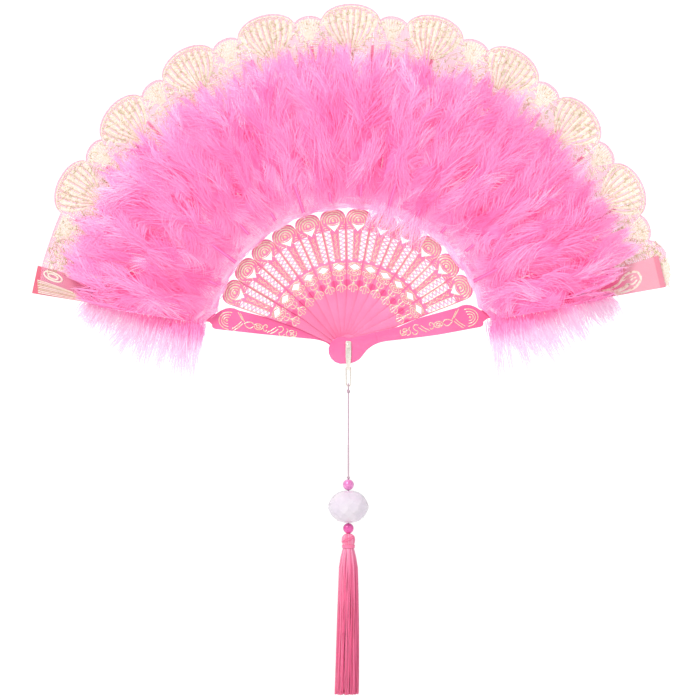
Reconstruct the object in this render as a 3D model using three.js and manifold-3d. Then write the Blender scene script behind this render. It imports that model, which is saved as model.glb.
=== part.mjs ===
// A folding feather fan, shown open: two guards and twelve pierced sticks turn on one rivet.
// A pleated lace leaf and a row of feather tufts lie in front of the sticks, and a beaded tassel
// hangs from a bail on the rivet. Millimetres, +Z up, the front of the fan faces -Y.
// The origin is on the rivet's axis, half way through the stack of sticks.
import * as THREE from "three";
import { mergeVertices } from "three/addons/utils/BufferGeometryUtils.js";
import Module from "manifold-3d";

const wasm = await Module();
wasm.setup();

// Layout of the open fan. Angles are in degrees, counted from +X towards +Z
const stickCount = 12;
const stickStep = 11.64;
const firstStickAngle = 155.2;
const rearGuardAngle = 168.1;
const frontGuardAngle = 13.3;

// The stack on the rivet
const clearance = 0.3;
const stickThickness = 0.9;
const guardHeadThickness = 1.4;
const bladeRelief = 0.4;
const bladeStart = 20;
const cutOverrun = 1;
const layerStep = stickThickness + clearance;
const stackHalf = (stickCount * layerStep + clearance) / 2;

// Rivet, washer and bail
const pinRadius = 1;
const rivetHeadRadius = 1.7;
const rivetHeadHeight = 0.8;
const washerRadius = 2.4;
const washerThickness = 0.5;
const bailWidth = 3.8;
const bailEndWidth = 2.4;
const bailThickness = 0.8;
const bailTop = 3;
const bailCorner = 0.6;
const crossbarRadius = 0.7;
const crossbarGap = 0.6535;

// A stick, from the rivet outwards. Each web is the plastic left between two openings
const stickHeadRadius = 7.5;
const stickNeckWidth = 7.4;
const gorgeEnd = 36;
const discWeb = 5.75;
const discHole = 1.5;
const kiteWeb = 8.15;
const kiteWidth = 7.4;
const kiteHeight = 4.4;
const slotWeb = 1.9;
const slotLength = 21;
const railWidth = 1;
const panelStartWidth = 4.2;
const panelEndWidth = 6.2;
// The crescent's point dips this far between the two slots
const crescentDip = 0.75;
const crescentWidth = 8.7;
const crescentHeight = 5.3;
const shoulderWeb = 2.75;
const shoulderRise = 6.8;
const ribWidth = 3;
const ribEndWidth = 2.2;
const ribEnd = 205;
const discRadius = gorgeEnd + discWeb + discHole / 2;
const kiteRadius = discRadius + discHole / 2 + kiteWeb + kiteHeight / 2;
const slotStart = kiteRadius + kiteHeight / 2 + slotWeb;
const slotEnd = slotStart + slotLength;
const crescentRadius = slotEnd - crescentDip + crescentHeight / 2;
const shoulderRadius = crescentRadius + crescentHeight / 2 + shoulderWeb;
const shoulderTop = shoulderRadius + shoulderRise;

// A guard, in distances along its blade from the rivet and out from the blade's axis.
// Out is away from the sticks, so a negative distance is on the sticks' side
const bladeLength = 218.5;
const neckGap = 3.2;
const neckOutside = 3.9;
const neckInside = 2.4;
const guardArmWidth = 4.5;
const guardStepStart = 36;
const guardStepEnd = 50;
const guardPanelWidth = 7;
const guardShoulderRamp = 8;
const guardShoulderWidth = 8;
const guardShoulderPeak = 9.4;
const guardCornerRadius = 3;
const neckStart = shoulderTop + neckGap;
const guardShoulderStart = shoulderRadius - guardShoulderRamp;
const frontGuard = {
  side: 1,
  angle: frontGuardAngle,
  tipHalfWidth: 11,
  head: { radius: 9.3, along: -4.85, out: 2.25 },
  shoulder: { along: 89.6, out: 8.4 },
  edge: { along: [60.5, 34.4, 21.4, 12.7, 5.2, -0.5], out: [6.9, 4.1, 3, 5.3, 10.7, 12.1] },
};
const rearGuard = {
  side: -1,
  angle: rearGuardAngle,
  tipHalfWidth: 9.65,
  head: { radius: 8.2, along: -2.6, out: 2.6 },
  shoulder: { along: 90.8, out: 7.7 },
  edge: { along: [60, 33.4, 21.2, 13.5, 7.2, 2.1], out: [4.7, 1.7, 0.6, 1.9, 7.2, 10.4] },
};

// The bail's bar passes below the front guard's head at any fold
const { along: headAlong, out: headOut, radius: headRadius } = frontGuard.head;
const headReach = Math.hypot(headAlong, headOut) + headRadius;
const crossbarDrop = headReach + crossbarGap + crossbarRadius;

// The lace leaf
const leafThickness = 0.5;
const leafGap = 6.2;
const leafInnerRadius = shoulderTop + leafGap;
const leafValleyRadius = 221;
const shellRise = 11.6;
const smallShellRise = 5;
const shellStepAngle = 15.1;
const middleShellAngle = 89.6;
const smallShellShare = 0.32;
const edgeDropShare = 0.046;
const rearEdge = 216;
const pleatDepth = 3;
const leafStationCount = 8;
const leafMargin = 1;

// The feathers, a ring of fluff cut into one tuft for each stick and guard
const fluffInner = 98;
const fluffOuter = 202;
const fluffDepth = 28;
const fluffRadiusShares = [0, 0.02, 0.12, 0.31, 0.5, 0.71, 0.88, 0.98, 1];
const fluffDepthShares = [0, 0.3, 0.62, 0.9, 1, 0.9, 0.55, 0.15, 0];
const overhangAlong = 138;
const overhangLength = 84;
const overhangDrop = 44;
const overhangDepth = 32;

// The pendant
const linkWire = 1;
const linkLength = 14.1;
const threadRadius = 0.5;
const threadStep = 2.5;
const threadSegments = 8;
const knotRadius = 1.2;
const knotHeight = 2.6;
const beadKnotHeight = 1.6;
const beadGap = 58.2;
const upperBeadRadius = 3.75;
const lowerBeadRadius = 3.6;
const beadFlatRadius = 1.6;
const crystalRadius = 13.25;
const crystalHeight = 22.4;
const crystalGirdle = 3;
const crystalFlatRadius = 3.4;
const crystalFacetCount = 12;
const crownRadiusShare = 0.76;
const crownHeightShare = 0.66;
const tasselHeadRadius = 4.7;
const tasselHeadHeight = 10.2;
const tasselCrownRadius = 2.2;
const tasselNeckRadius = 3.7;
const tasselBandHeight = 2.4;
const tasselBandWidth = 1;
const tasselWaistRadius = 5.2;
const tasselWaistDrop = 8;
const tasselEndRadius = 8.1;
const tasselLength = 99;

// How finely round shapes are faceted
const fineSegments = 24;
const coarseSegments = 12;
const curveSegments = 5;
const samePoint = 0.005;

const pinHoleRadius = pinRadius + clearance;

// Finishes
const stickPlastic = finish("#ff85b4", 0.4, 0);
const guardPlastic = finish("#f2649c", 0.35, 0);
const laceNet = finish("#fbe3d6", 0.8, 0);
const marabou = finish("#ff80c8", 0.95, 0);
const nickel = finish("#d9d6cf", 0.25, 1);
const silkThread = finish("#d893b4", 0.7, 0);
const pearl = finish("#e66ab0", 0.25, 0);
const crystalGlass = finish("#f3ecff", 0.08, 0);
const rayon = finish("#ee5f91", 0.5, 0);

const fan = new THREE.Group();

function finish(color, roughness, metalness) {
  return new THREE.MeshStandardMaterial({ color, roughness, metalness });
}

function radians(degrees) {
  return THREE.MathUtils.degToRad(degrees);
}

// A closed mesh as a solid for joining and cutting
function solid(geometry) {
  const bare = geometry.index ? geometry.clone() : geometry;
  bare.deleteAttribute("normal");
  bare.deleteAttribute("uv");
  const merged = mergeVertices(bare, 1e-4);
  return new wasm.Manifold(
    new wasm.Mesh({
      numProp: 3,
      vertProperties: merged.attributes.position.array,
      triVerts: new Uint32Array(merged.index.array),
    }),
  );
}

// The mesh of a solid
function meshed(body) {
  const mesh = body.getMesh();
  const geometry = new THREE.BufferGeometry();
  geometry.setAttribute("position", new THREE.BufferAttribute(mesh.vertProperties, 3));
  geometry.setIndex(new THREE.BufferAttribute(mesh.triVerts, 1));
  return geometry;
}

// The points of an outline without those that repeat the one before them
function distinct(points) {
  return points.filter((point, i) => {
    const before = points[(i + points.length - 1) % points.length];
    return point.distanceTo(before) > samePoint;
  });
}

// A plate cut from an outline that is drawn pointing up, between two depths along Y
function plate(outline, frontY, backY, segments = curveSegments) {
  const { shape, holes } = outline.extractPoints(segments);
  const clean = new THREE.Shape(distinct(shape));
  clean.holes = holes.map((hole) => new THREE.Path(distinct(hole)));
  const geometry = new THREE.ExtrudeGeometry(clean, { depth: backY - frontY, bevelEnabled: false });
  return geometry.rotateX(Math.PI / 2).translate(0, backY, 0);
}

// A turned piece on the Z axis. Its profile lists radius and height pairs
function turned(profile, segments = fineSegments) {
  const points = profile.map(([radius, height]) => new THREE.Vector2(radius, height));
  return new THREE.LatheGeometry(points, segments).rotateX(Math.PI / 2);
}

function circle(x, y, radius) {
  return new THREE.Path().absarc(x, y, radius, 0, 2 * Math.PI, false);
}

// Adds a piece that points along an angle of the open fan
function add(name, geometry, material, angle = 90, y = 0) {
  const mesh = new THREE.Mesh(geometry, material);
  mesh.name = name;
  mesh.rotation.y = radians(90 - angle);
  mesh.position.y = y;
  fan.add(mesh);
}

function stickAngle(index) {
  return firstStickAngle - index * stickStep;
}

// The middle of a stick's thickness. Stick 0 is next to the rear guard
function stickY(index) {
  return stackHalf - clearance - stickThickness / 2 - index * layerStep;
}

function twoDigits(number) {
  return String(number).padStart(2, "0");
}

// Sticks

// Half a stick's width where it meets its neighbours
function borderAt(radius) {
  return radius * Math.tan(radians(stickStep / 2));
}

function stickOutline() {
  const neck = stickNeckWidth / 2;
  const rib = ribWidth / 2;
  const shoulder = borderAt(shoulderRadius);
  const neckStartY = Math.sqrt(stickHeadRadius ** 2 - neck ** 2);
  const neckAngle = Math.atan2(neckStartY, neck);
  const outline = new THREE.Shape();
  outline.moveTo(neck, neckStartY);
  outline.lineTo(neck, gorgeEnd);
  outline.lineTo(shoulder, shoulderRadius);
  outline.quadraticCurveTo(shoulder, shoulderTop, rib, shoulderTop);
  outline.lineTo(ribEndWidth / 2, ribEnd);
  outline.lineTo(-ribEndWidth / 2, ribEnd);
  outline.lineTo(-rib, shoulderTop);
  outline.quadraticCurveTo(-shoulder, shoulderTop, -shoulder, shoulderRadius);
  outline.lineTo(-neck, gorgeEnd);
  outline.lineTo(-neck, neckStartY);
  outline.absarc(0, 0, stickHeadRadius, Math.PI - neckAngle, 2 * Math.PI + neckAngle, false);
  return outline;
}

function kiteHole() {
  const hole = new THREE.Path();
  hole.moveTo(0, kiteRadius - kiteHeight / 2);
  hole.lineTo(kiteWidth / 2, kiteRadius);
  hole.lineTo(0, kiteRadius + kiteHeight / 2);
  hole.lineTo(-kiteWidth / 2, kiteRadius);
  hole.closePath();
  return hole;
}

// The long slot between the middle panel and the rail at a stick's border
function slotHole(side) {
  const hole = new THREE.Path();
  hole.moveTo((side * panelStartWidth) / 2, slotStart);
  hole.lineTo(side * (borderAt(slotStart) - railWidth), slotStart + railWidth / 2);
  hole.lineTo(side * (borderAt(slotEnd) - railWidth), slotEnd);
  hole.lineTo((side * panelEndWidth) / 2, slotEnd);
  hole.closePath();
  return hole;
}

function crescentHole() {
  const top = crescentRadius + crescentHeight / 2;
  const hole = new THREE.Path();
  hole.moveTo(0, crescentRadius - crescentHeight / 2);
  hole.lineTo(crescentWidth / 2, top);
  hole.quadraticCurveTo(0, crescentRadius, -crescentWidth / 2, top);
  hole.closePath();
  return hole;
}

function stickGeometry() {
  const outline = stickOutline();
  outline.holes.push(circle(0, 0, pinHoleRadius));
  outline.holes.push(circle(0, discRadius, discHole / 2));
  outline.holes.push(kiteHole());
  outline.holes.push(slotHole(1));
  outline.holes.push(slotHole(-1));
  outline.holes.push(crescentHole());
  return plate(outline, -stickThickness / 2, stickThickness / 2);
}

for (let index = 0; index < stickCount; index += 1) {
  const name = "stick_" + twoDigits(index + 1);
  add(name, stickGeometry(), stickPlastic, stickAngle(index), stickY(index));
}

// Guards

function guardOutline(guard) {
  const { side, head, shoulder, edge, tipHalfWidth } = guard;
  const at = (along, out) => new THREE.Vector2(side * out, along);
  const armJoin = head.along + Math.sqrt(head.radius ** 2 - (guardArmWidth + head.out) ** 2);
  const outline = new THREE.Shape();
  const line = (along, out) => outline.lineTo(side * out, along);
  const bend = (alongA, outA, alongB, outB) =>
    outline.quadraticCurveTo(side * outA, alongA, side * outB, alongB);
  outline.moveTo(side * -guardArmWidth, armJoin);
  line(guardStepStart, -guardArmWidth);
  line(guardStepEnd, -guardPanelWidth);
  line(guardShoulderStart, -guardShoulderWidth);
  bend(shoulderRadius, -guardShoulderPeak - guardCornerRadius / 2, shoulderTop, -neckInside);
  line(neckStart, -neckInside);
  line(bladeLength, -tipHalfWidth);
  line(bladeLength, tipHalfWidth);
  line(neckStart, neckOutside);
  line(shoulder.along + guardCornerRadius, neckOutside + guardCornerRadius / 2);
  bend(shoulder.along + guardCornerRadius, shoulder.out, shoulder.along, shoulder.out);
  outline.splineThru([
    ...edge.along.map((along, i) => at(along, edge.out[i])),
    at(head.along, head.out + head.radius),
  ]);
  headArc(outline, guard, armJoin);
  return outline;
}

// Closes a guard's outline round the back of its head, from the outer side to the arm
function headArc(outline, { side, head }, armJoin) {
  const turn = Math.atan2(armJoin - head.along, guardArmWidth + head.out);
  if (side > 0) outline.absarc(head.out, head.along, head.radius, 0, -Math.PI - turn, true);
  else outline.absarc(-head.out, head.along, head.radius, Math.PI, 2 * Math.PI + turn, false);
}

// The head is thinner than the blade, so that the bail can turn on it
function guardGeometry(guard) {
  const outline = guardOutline(guard);
  outline.holes.push(circle(0, 0, pinHoleRadius));
  const innerY = stackHalf;
  const headY = innerY + guardHeadThickness;
  const bladeY = headY + bladeRelief;
  const blade = solid(plate(outline, innerY, bladeY));
  const recessHeight = bladeRelief + cutOverrun;
  const recess = new THREE.CylinderGeometry(bladeStart, bladeStart, recessHeight, fineSegments);
  recess.translate(0, headY + recessHeight / 2, 0);
  const body = meshed(blade.subtract(solid(recess)));
  return guard.side > 0 ? flippedToFront(body) : body;
}

// Mirrors a geometry through the plane Y = 0 and keeps its faces pointing out
function flippedToFront(geometry) {
  const flat = geometry.toNonIndexed().scale(1, -1, 1);
  const position = flat.attributes.position;
  for (let i = 0; i < position.count; i += 3) {
    const [x, y, z] = [position.getX(i), position.getY(i), position.getZ(i)];
    position.setXYZ(i, position.getX(i + 1), position.getY(i + 1), position.getZ(i + 1));
    position.setXYZ(i + 1, x, y, z);
  }
  return flat;
}

add("guard_rear", guardGeometry(rearGuard), guardPlastic, rearGuard.angle);
add("guard_front", guardGeometry(frontGuard), guardPlastic, frontGuard.angle);

// Lace leaf, one pleated panel for each gap between two ribs

// The leaf's edge: large shells with a small one in each gap, a little lower towards the guards
function leafEdge(angle) {
  const side = (angle - middleShellAngle) / 90;
  const cycle = (angle - middleShellAngle) / shellStepAngle;
  const offset = cycle - Math.round(cycle);
  const largeHalf = (1 - smallShellShare) / 2;
  const largeBulge = Math.sqrt(Math.max(0, 1 - (offset / largeHalf) ** 2));
  const smallOffset = (0.5 - Math.abs(offset)) / (smallShellShare / 2);
  const smallBulge = Math.sqrt(Math.max(0, 1 - smallOffset ** 2));
  const rise = Math.max(shellRise * largeBulge, smallShellRise * smallBulge);
  const edge = (leafValleyRadius + rise) * (1 - edgeDropShare * side ** 2);
  return angle > firstStickAngle ? Math.min(edge, rearEdge) : edge;
}

// The two lines of a panel beside a rib: where it ends, and where its pleat begins.
// Each holds the distance from the rib's axis at the leaf's inner edge and at its outer one
function ribSide(index) {
  const pleatLine = ribWidth / 2 + clearance;
  return {
    angle: stickAngle(index),
    y: stickY(index) - stickThickness / 2 - clearance - leafThickness / 2,
    end: [clearance / 2, clearance / 2],
    pleat: [pleatLine, pleatLine],
  };
}

function guardSide(guard, y) {
  return {
    angle: guard.angle,
    y,
    end: [-neckOutside + leafMargin, -guard.tipHalfWidth + leafMargin],
    pleat: [neckInside + leafMargin, guard.tipHalfWidth + leafMargin],
  };
}

// The angle of a line beside a rib at a radius. The next rib lies towards smaller angles
function lineAngle(side, offset, radius, way) {
  return side.angle - (way * THREE.MathUtils.radToDeg(Math.asin(offset / radius)));
}

// One line across a panel, from the inner edge to the scalloped one
function station(left, right, share, y) {
  const angleAt = (end, radius) => {
    if (share < 0) return lineAngle(left, left.end[end], radius, 1);
    if (share > 1) return lineAngle(right, right.end[end], radius, -1);
    const from = lineAngle(left, left.pleat[end], radius, 1);
    const to = lineAngle(right, right.pleat[end], radius, -1);
    return THREE.MathUtils.lerp(from, to, share);
  };
  const innerAngle = angleAt(0, leafInnerRadius);
  const outerAngle = angleAt(1, leafValleyRadius);
  return { inner: polar(innerAngle, leafInnerRadius, y), outer: polar(outerAngle, leafEdge(outerAngle), y) };
}

function polar(angle, radius, y) {
  const turn = radians(angle);
  return new THREE.Vector3(radius * Math.cos(turn), y, radius * Math.sin(turn));
}

// The lines of a panel: flat beside each rib, and folded back half way between them
function panelStations(left, right) {
  const lines = [station(left, right, -1, left.y)];
  for (let i = 0; i <= leafStationCount; i += 1) {
    const share = i / leafStationCount;
    const fold = pleatDepth * (1 - Math.abs(2 * share - 1));
    lines.push(station(left, right, share, THREE.MathUtils.lerp(left.y, right.y, share) + fold));
  }
  lines.push(station(left, right, 2, right.y));
  return lines;
}

// A strip of cloth of even thickness along Y, closed all round
function stripGeometry(lines) {
  const half = leafThickness / 2;
  const shifted = (point, y) => [point.x, point.y + y, point.z];
  const corners = lines.map(({ inner, outer }) => [
    shifted(inner, -half),
    shifted(outer, -half),
    shifted(outer, half),
    shifted(inner, half),
  ]);
  const triangles = [];
  const quad = (a, b, c, d) => triangles.push(a, b, c, a, c, d);
  for (let i = 0; i + 1 < corners.length; i += 1)
    for (let j = 0; j < 4; j += 1) {
      const next = (j + 1) % 4;
      quad(corners[i][j], corners[i + 1][j], corners[i + 1][next], corners[i][next]);
    }
  const last = corners[corners.length - 1];
  quad(corners[0][0], corners[0][1], corners[0][2], corners[0][3]);
  quad(last[3], last[2], last[1], last[0]);
  const geometry = new THREE.BufferGeometry();
  geometry.setAttribute("position", new THREE.Float32BufferAttribute(triangles.flat(), 3));
  return geometry;
}

const leafOnGuardY = stackHalf - clearance - leafThickness / 2;
const leafSides = [guardSide(rearGuard, leafOnGuardY)];
for (let index = 0; index < stickCount; index += 1) leafSides.push(ribSide(index));
leafSides.push(guardSide(frontGuard, -leafOnGuardY));

for (let index = 0; index + 1 < leafSides.length; index += 1) {
  const lines = panelStations(leafSides[index], leafSides[index + 1]);
  add("leaf_" + twoDigits(index + 1), stripGeometry(lines), laceNet);
}

// Feathers

// The ring of fluff, bulging forward from its flat back
function fluffRing() {
  const profile = fluffRadiusShares.map((share, i) => [
    THREE.MathUtils.lerp(fluffInner, fluffOuter, share),
    -fluffDepth * fluffDepthShares[i],
  ]);
  profile.push(profile[0]);
  const points = profile.map(([radius, y]) => new THREE.Vector2(radius, y));
  return solid(new THREE.LatheGeometry(points, 4 * fineSegments));
}

// A wedge that points up, between two angles from its middle, kept clear of its neighbours
function wedge(leftAngle, rightAngle) {
  const reach = 2 * fluffOuter;
  const middle = radians((rightAngle - leftAngle) / 2);
  const half = radians((rightAngle + leftAngle) / 2);
  const apex = clearance / 2 / Math.sin(half);
  const point = (turn, radius) => new THREE.Vector2(
    apex * Math.sin(middle) + radius * Math.sin(turn),
    apex * Math.cos(middle) + radius * Math.cos(turn),
  );
  const outline = new THREE.Shape([
    point(middle, 0),
    point(middle + half, reach),
    point(middle - half, reach),
  ]);
  return solid(plate(outline, -2 * fluffDepth, fluffDepth));
}

const ring = fluffRing();

function stickTuft() {
  return meshed(ring.intersect(wedge(stickStep / 2, stickStep / 2)));
}

for (let index = 0; index < stickCount; index += 1) {
  const leafFront = stickY(index) - stickThickness / 2 - clearance - leafThickness;
  const name = "feathers_" + twoDigits(index + 1);
  add(name, stickTuft(), marabou, stickAngle(index), leafFront - clearance);
}

// The fluff that hangs over a guard's outer edge
function overhang(side) {
  const pad = new THREE.SphereGeometry(1, fineSegments, coarseSegments);
  pad.scale(overhangDrop, overhangDepth / 2, overhangLength / 2);
  pad.translate(0, 0, overhangAlong);
  const outline = new THREE.Shape([
    new THREE.Vector2(0, 0),
    new THREE.Vector2(side * 2 * overhangDrop, 0),
    new THREE.Vector2(side * 2 * overhangDrop, 2 * overhangAlong),
    new THREE.Vector2(0, 2 * overhangAlong),
  ]);
  return solid(pad).intersect(solid(plate(outline, -overhangDepth, 0)));
}

// A guard's tuft reaches from the next stick's tuft to the guard's outer edge and over it
function guardTuft(guard, neighbourAngle) {
  const inside = Math.abs(guard.angle - neighbourAngle) - stickStep / 2;
  const outside = stickStep / 2;
  const left = guard.side > 0 ? inside : outside;
  const right = guard.side > 0 ? outside : inside;
  return meshed(ring.intersect(wedge(left, right)).add(overhang(guard.side)));
}

const rearTuftY = leafOnGuardY - leafThickness / 2 - clearance;
const frontTuftY = -stackHalf - guardHeadThickness - bladeRelief - clearance;
add("feathers_guard_rear", guardTuft(rearGuard, stickAngle(0)), marabou, rearGuardAngle, rearTuftY);
add(
  "feathers_guard_front",
  guardTuft(frontGuard, stickAngle(stickCount - 1)),
  marabou,
  frontGuardAngle,
  frontTuftY,
);

// Rivet and washer

const headFaceY = stackHalf + guardHeadThickness;
const earInnerY = headFaceY + clearance;
const earOuterY = earInnerY + bailThickness;
const washerY = earOuterY + clearance;
const rivetFrontY = earOuterY + clearance;
const rivetBackY = washerY + washerThickness + clearance;

// Turns a profile of radius and Y pairs round the rivet's axis
function turnedOnRivet(profile, segments = fineSegments) {
  const points = profile.map(([radius, y]) => new THREE.Vector2(radius, y));
  return new THREE.LatheGeometry(points, segments);
}

function rivetGeometry() {
  const domeRadius = rivetHeadRadius - rivetHeadHeight / 2;
  return turnedOnRivet([
    [0, -rivetFrontY - rivetHeadHeight],
    [domeRadius, -rivetFrontY - rivetHeadHeight],
    [rivetHeadRadius, -rivetFrontY - rivetHeadHeight / 2],
    [rivetHeadRadius, -rivetFrontY],
    [pinRadius, -rivetFrontY],
    [pinRadius, rivetBackY],
    [rivetHeadRadius, rivetBackY],
    [rivetHeadRadius, rivetBackY + rivetHeadHeight / 2],
    [domeRadius, rivetBackY + rivetHeadHeight],
    [0, rivetBackY + rivetHeadHeight],
  ]);
}

function washerGeometry() {
  return turnedOnRivet([
    [pinHoleRadius, washerY],
    [washerRadius, washerY],
    [washerRadius, washerY + washerThickness],
    [pinHoleRadius, washerY + washerThickness],
    [pinHoleRadius, washerY],
  ]);
}

add("rivet", rivetGeometry(), nickel);
add("rivet_washer", washerGeometry(), nickel);

// Bail, a strap over each face of the stack, joined by a round bar below it

function earOutline() {
  const half = bailWidth / 2;
  const endHalf = bailEndWidth / 2;
  const bottom = -crossbarDrop - endHalf;
  const outline = new THREE.Shape();
  outline.moveTo(half, -stickHeadRadius);
  outline.lineTo(half, bailTop - bailCorner);
  outline.lineTo(half - bailCorner, bailTop);
  outline.lineTo(-half + bailCorner, bailTop);
  outline.lineTo(-half, bailTop - bailCorner);
  outline.lineTo(-half, -stickHeadRadius);
  outline.lineTo(-endHalf, -crossbarDrop);
  outline.lineTo(-endHalf / 2, bottom);
  outline.lineTo(endHalf / 2, bottom);
  outline.lineTo(endHalf, -crossbarDrop);
  outline.closePath();
  outline.holes.push(circle(0, 0, pinHoleRadius));
  return outline;
}

function bailGeometry() {
  const frontEar = solid(plate(earOutline(), -earOuterY, -earInnerY));
  const rearEar = solid(plate(earOutline(), earInnerY, earOuterY));
  const barLength = earInnerY + earOuterY;
  const bar = new THREE.CylinderGeometry(crossbarRadius, crossbarRadius, barLength, coarseSegments);
  bar.translate(0, 0, -crossbarDrop);
  return meshed(frontEar.add(rearEar).add(solid(bar)));
}

add("bail", bailGeometry(), nickel);

// Pendant, from the top down

const linkInnerRadius = crossbarRadius + clearance;
const linkOuterRadius = linkInnerRadius + linkWire;
const linkEndDrop = crossbarDrop + linkLength - 2 * linkOuterRadius;
const eyeDrop = linkEndDrop + linkInnerRadius + linkWire / 2;

// An oval with straight sides, round the bail's bar above and the eye below
function ovalPath(path, radius) {
  path.absarc(0, -crossbarDrop, radius, 0, Math.PI, false);
  path.absarc(0, -linkEndDrop, radius, Math.PI, 2 * Math.PI, false);
  path.closePath();
  return path;
}

function linkGeometry() {
  const outline = ovalPath(new THREE.Shape(), linkOuterRadius);
  outline.holes.push(ovalPath(new THREE.Path(), linkInnerRadius));
  return plate(outline, -linkWire / 2, linkWire / 2, coarseSegments);
}

add("pendant_link", linkGeometry(), nickel);

const loopInner = (linkWire / 2) * Math.SQRT2 + clearance;
const loopRadius = loopInner + threadRadius;
const loopEndDrop = eyeDrop + loopRadius + threadRadius;

// The thread's loop lies across the link's lower end
function loopGeometry() {
  const loop = new THREE.TorusGeometry(loopRadius, threadRadius, threadSegments, coarseSegments);
  return loop.rotateY(Math.PI / 2).translate(0, 0, -eyeDrop);
}

add("thread_loop", loopGeometry(), silkThread);

const knotTop = loopEndDrop + clearance;
const knotEnd = knotTop + knotHeight;

// A knot pulled tight, a little longer than it is wide
function knotGeometry() {
  const shares = [0, 0.5, 0.87, 1, 0.87, 0.5, 0];
  const last = shares.length - 1;
  return turned(
    shares.map((share, i) => [knotRadius * share, -knotEnd + (knotHeight * i) / last]),
    coarseSegments,
  );
}

add("loop_knot", knotGeometry(), silkThread);

const threadTop = knotEnd + clearance;
const beadKnotTop = threadTop + beadGap - beadKnotHeight - clearance;
const upperBeadDrop = threadTop + beadGap + upperBeadRadius;
const beadFlatHalf = (radius) => Math.sqrt(radius ** 2 - beadFlatRadius ** 2);
const crystalTop = upperBeadDrop + beadFlatHalf(upperBeadRadius) + clearance;
const crystalDrop = crystalTop + crystalHeight / 2;
const lowerBeadDrop =
  crystalTop + crystalHeight + clearance + beadFlatHalf(lowerBeadRadius);
const tasselTop = lowerBeadDrop + beadFlatHalf(lowerBeadRadius) + clearance;
const threadEnd = tasselTop - clearance;
const boreRadius = threadRadius + clearance;

function threadGeometry() {
  const section = new THREE.Shape();
  for (let i = 0; i < threadSegments; i += 1) {
    const turn = (2 * Math.PI * i) / threadSegments;
    const corner = [threadRadius * Math.cos(turn), threadRadius * Math.sin(turn)];
    if (i === 0) section.moveTo(...corner);
    else section.lineTo(...corner);
  }
  section.closePath();
  const path = new THREE.LineCurve3(
    new THREE.Vector3(0, 0, -threadTop),
    new THREE.Vector3(0, 0, -threadEnd),
  );
  const steps = Math.round((threadEnd - threadTop) / threadStep);
  return new THREE.ExtrudeGeometry(section, { steps, extrudePath: path, bevelEnabled: false });
}

add("thread", threadGeometry(), silkThread);

// A bored bead that is flat where it meets its neighbours
function beadGeometry(radius, drop) {
  const start = Math.asin(beadFlatRadius / radius);
  const profile = [];
  const rows = coarseSegments / 2;
  for (let i = 0; i <= rows; i += 1) {
    const turn = Math.PI - start - ((Math.PI - 2 * start) * i) / rows;
    profile.push([radius * Math.sin(turn), -drop + radius * Math.cos(turn)]);
  }
  const half = beadFlatHalf(radius);
  profile.push([boreRadius, -drop + half], [boreRadius, -drop - half], profile[0]);
  return turned(profile, coarseSegments);
}

function beadKnotGeometry() {
  const middle = -beadKnotTop - beadKnotHeight / 2;
  return turned(
    [
      [boreRadius, -beadKnotTop - beadKnotHeight],
      [knotRadius, middle],
      [boreRadius, -beadKnotTop],
      [boreRadius, -beadKnotTop - beadKnotHeight],
    ],
    coarseSegments,
  );
}

// A cut crystal: flat ends, a crown and a pavilion of facets, and a short girdle
function crystalGeometry() {
  const half = crystalHeight / 2;
  const crown = [crystalRadius * crownRadiusShare, half * crownHeightShare];
  return turned(
    [
      [boreRadius, -crystalDrop - half],
      [crystalFlatRadius, -crystalDrop - half],
      [crown[0], -crystalDrop - crown[1]],
      [crystalRadius, -crystalDrop - crystalGirdle / 2],
      [crystalRadius, -crystalDrop + crystalGirdle / 2],
      [crown[0], -crystalDrop + crown[1]],
      [crystalFlatRadius, -crystalDrop + half],
      [boreRadius, -crystalDrop + half],
      [boreRadius, -crystalDrop - half],
    ],
    crystalFacetCount,
  );
}

add("bead_knot", beadKnotGeometry(), silkThread);
add("bead_upper", beadGeometry(upperBeadRadius, upperBeadDrop), pearl);
add("crystal_bead", crystalGeometry(), crystalGlass);
add("bead_lower", beadGeometry(lowerBeadRadius, lowerBeadDrop), pearl);

// Tassel: a bound head, a band round its neck, and a skirt of strands

const headEnd = tasselTop + tasselHeadHeight;
const bandTop = headEnd - tasselBandHeight - clearance;
const skirtTop = headEnd + clearance;
const skirtEnd = tasselTop + tasselHeadHeight + clearance + tasselLength;

function tasselHeadGeometry() {
  const shoulder = tasselHeadRadius - tasselCrownRadius;
  return turned([
    [0, -headEnd],
    [tasselNeckRadius, -headEnd],
    [tasselNeckRadius, -bandTop + clearance],
    [tasselHeadRadius, -bandTop + shoulder],
    [tasselHeadRadius, -tasselTop - shoulder],
    [tasselCrownRadius, -tasselTop],
    [0, -tasselTop],
  ]);
}

function tasselBandGeometry() {
  const inner = tasselNeckRadius + clearance;
  return turned([
    [inner, -bandTop - tasselBandHeight],
    [inner + tasselBandWidth, -bandTop - tasselBandHeight],
    [inner + tasselBandWidth, -bandTop],
    [inner, -bandTop],
    [inner, -bandTop - tasselBandHeight],
  ]);
}

function tasselSkirtGeometry() {
  return turned([
    [0, -skirtEnd],
    [tasselEndRadius, -skirtEnd],
    [tasselWaistRadius, -skirtTop - tasselWaistDrop],
    [tasselNeckRadius, -skirtTop],
    [0, -skirtTop],
  ]);
}

add("tassel_head", tasselHeadGeometry(), rayon);
add("tassel_band", tasselBandGeometry(), rayon);
add("tassel_skirt", tasselSkirtGeometry(), rayon);

export default fan;
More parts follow.
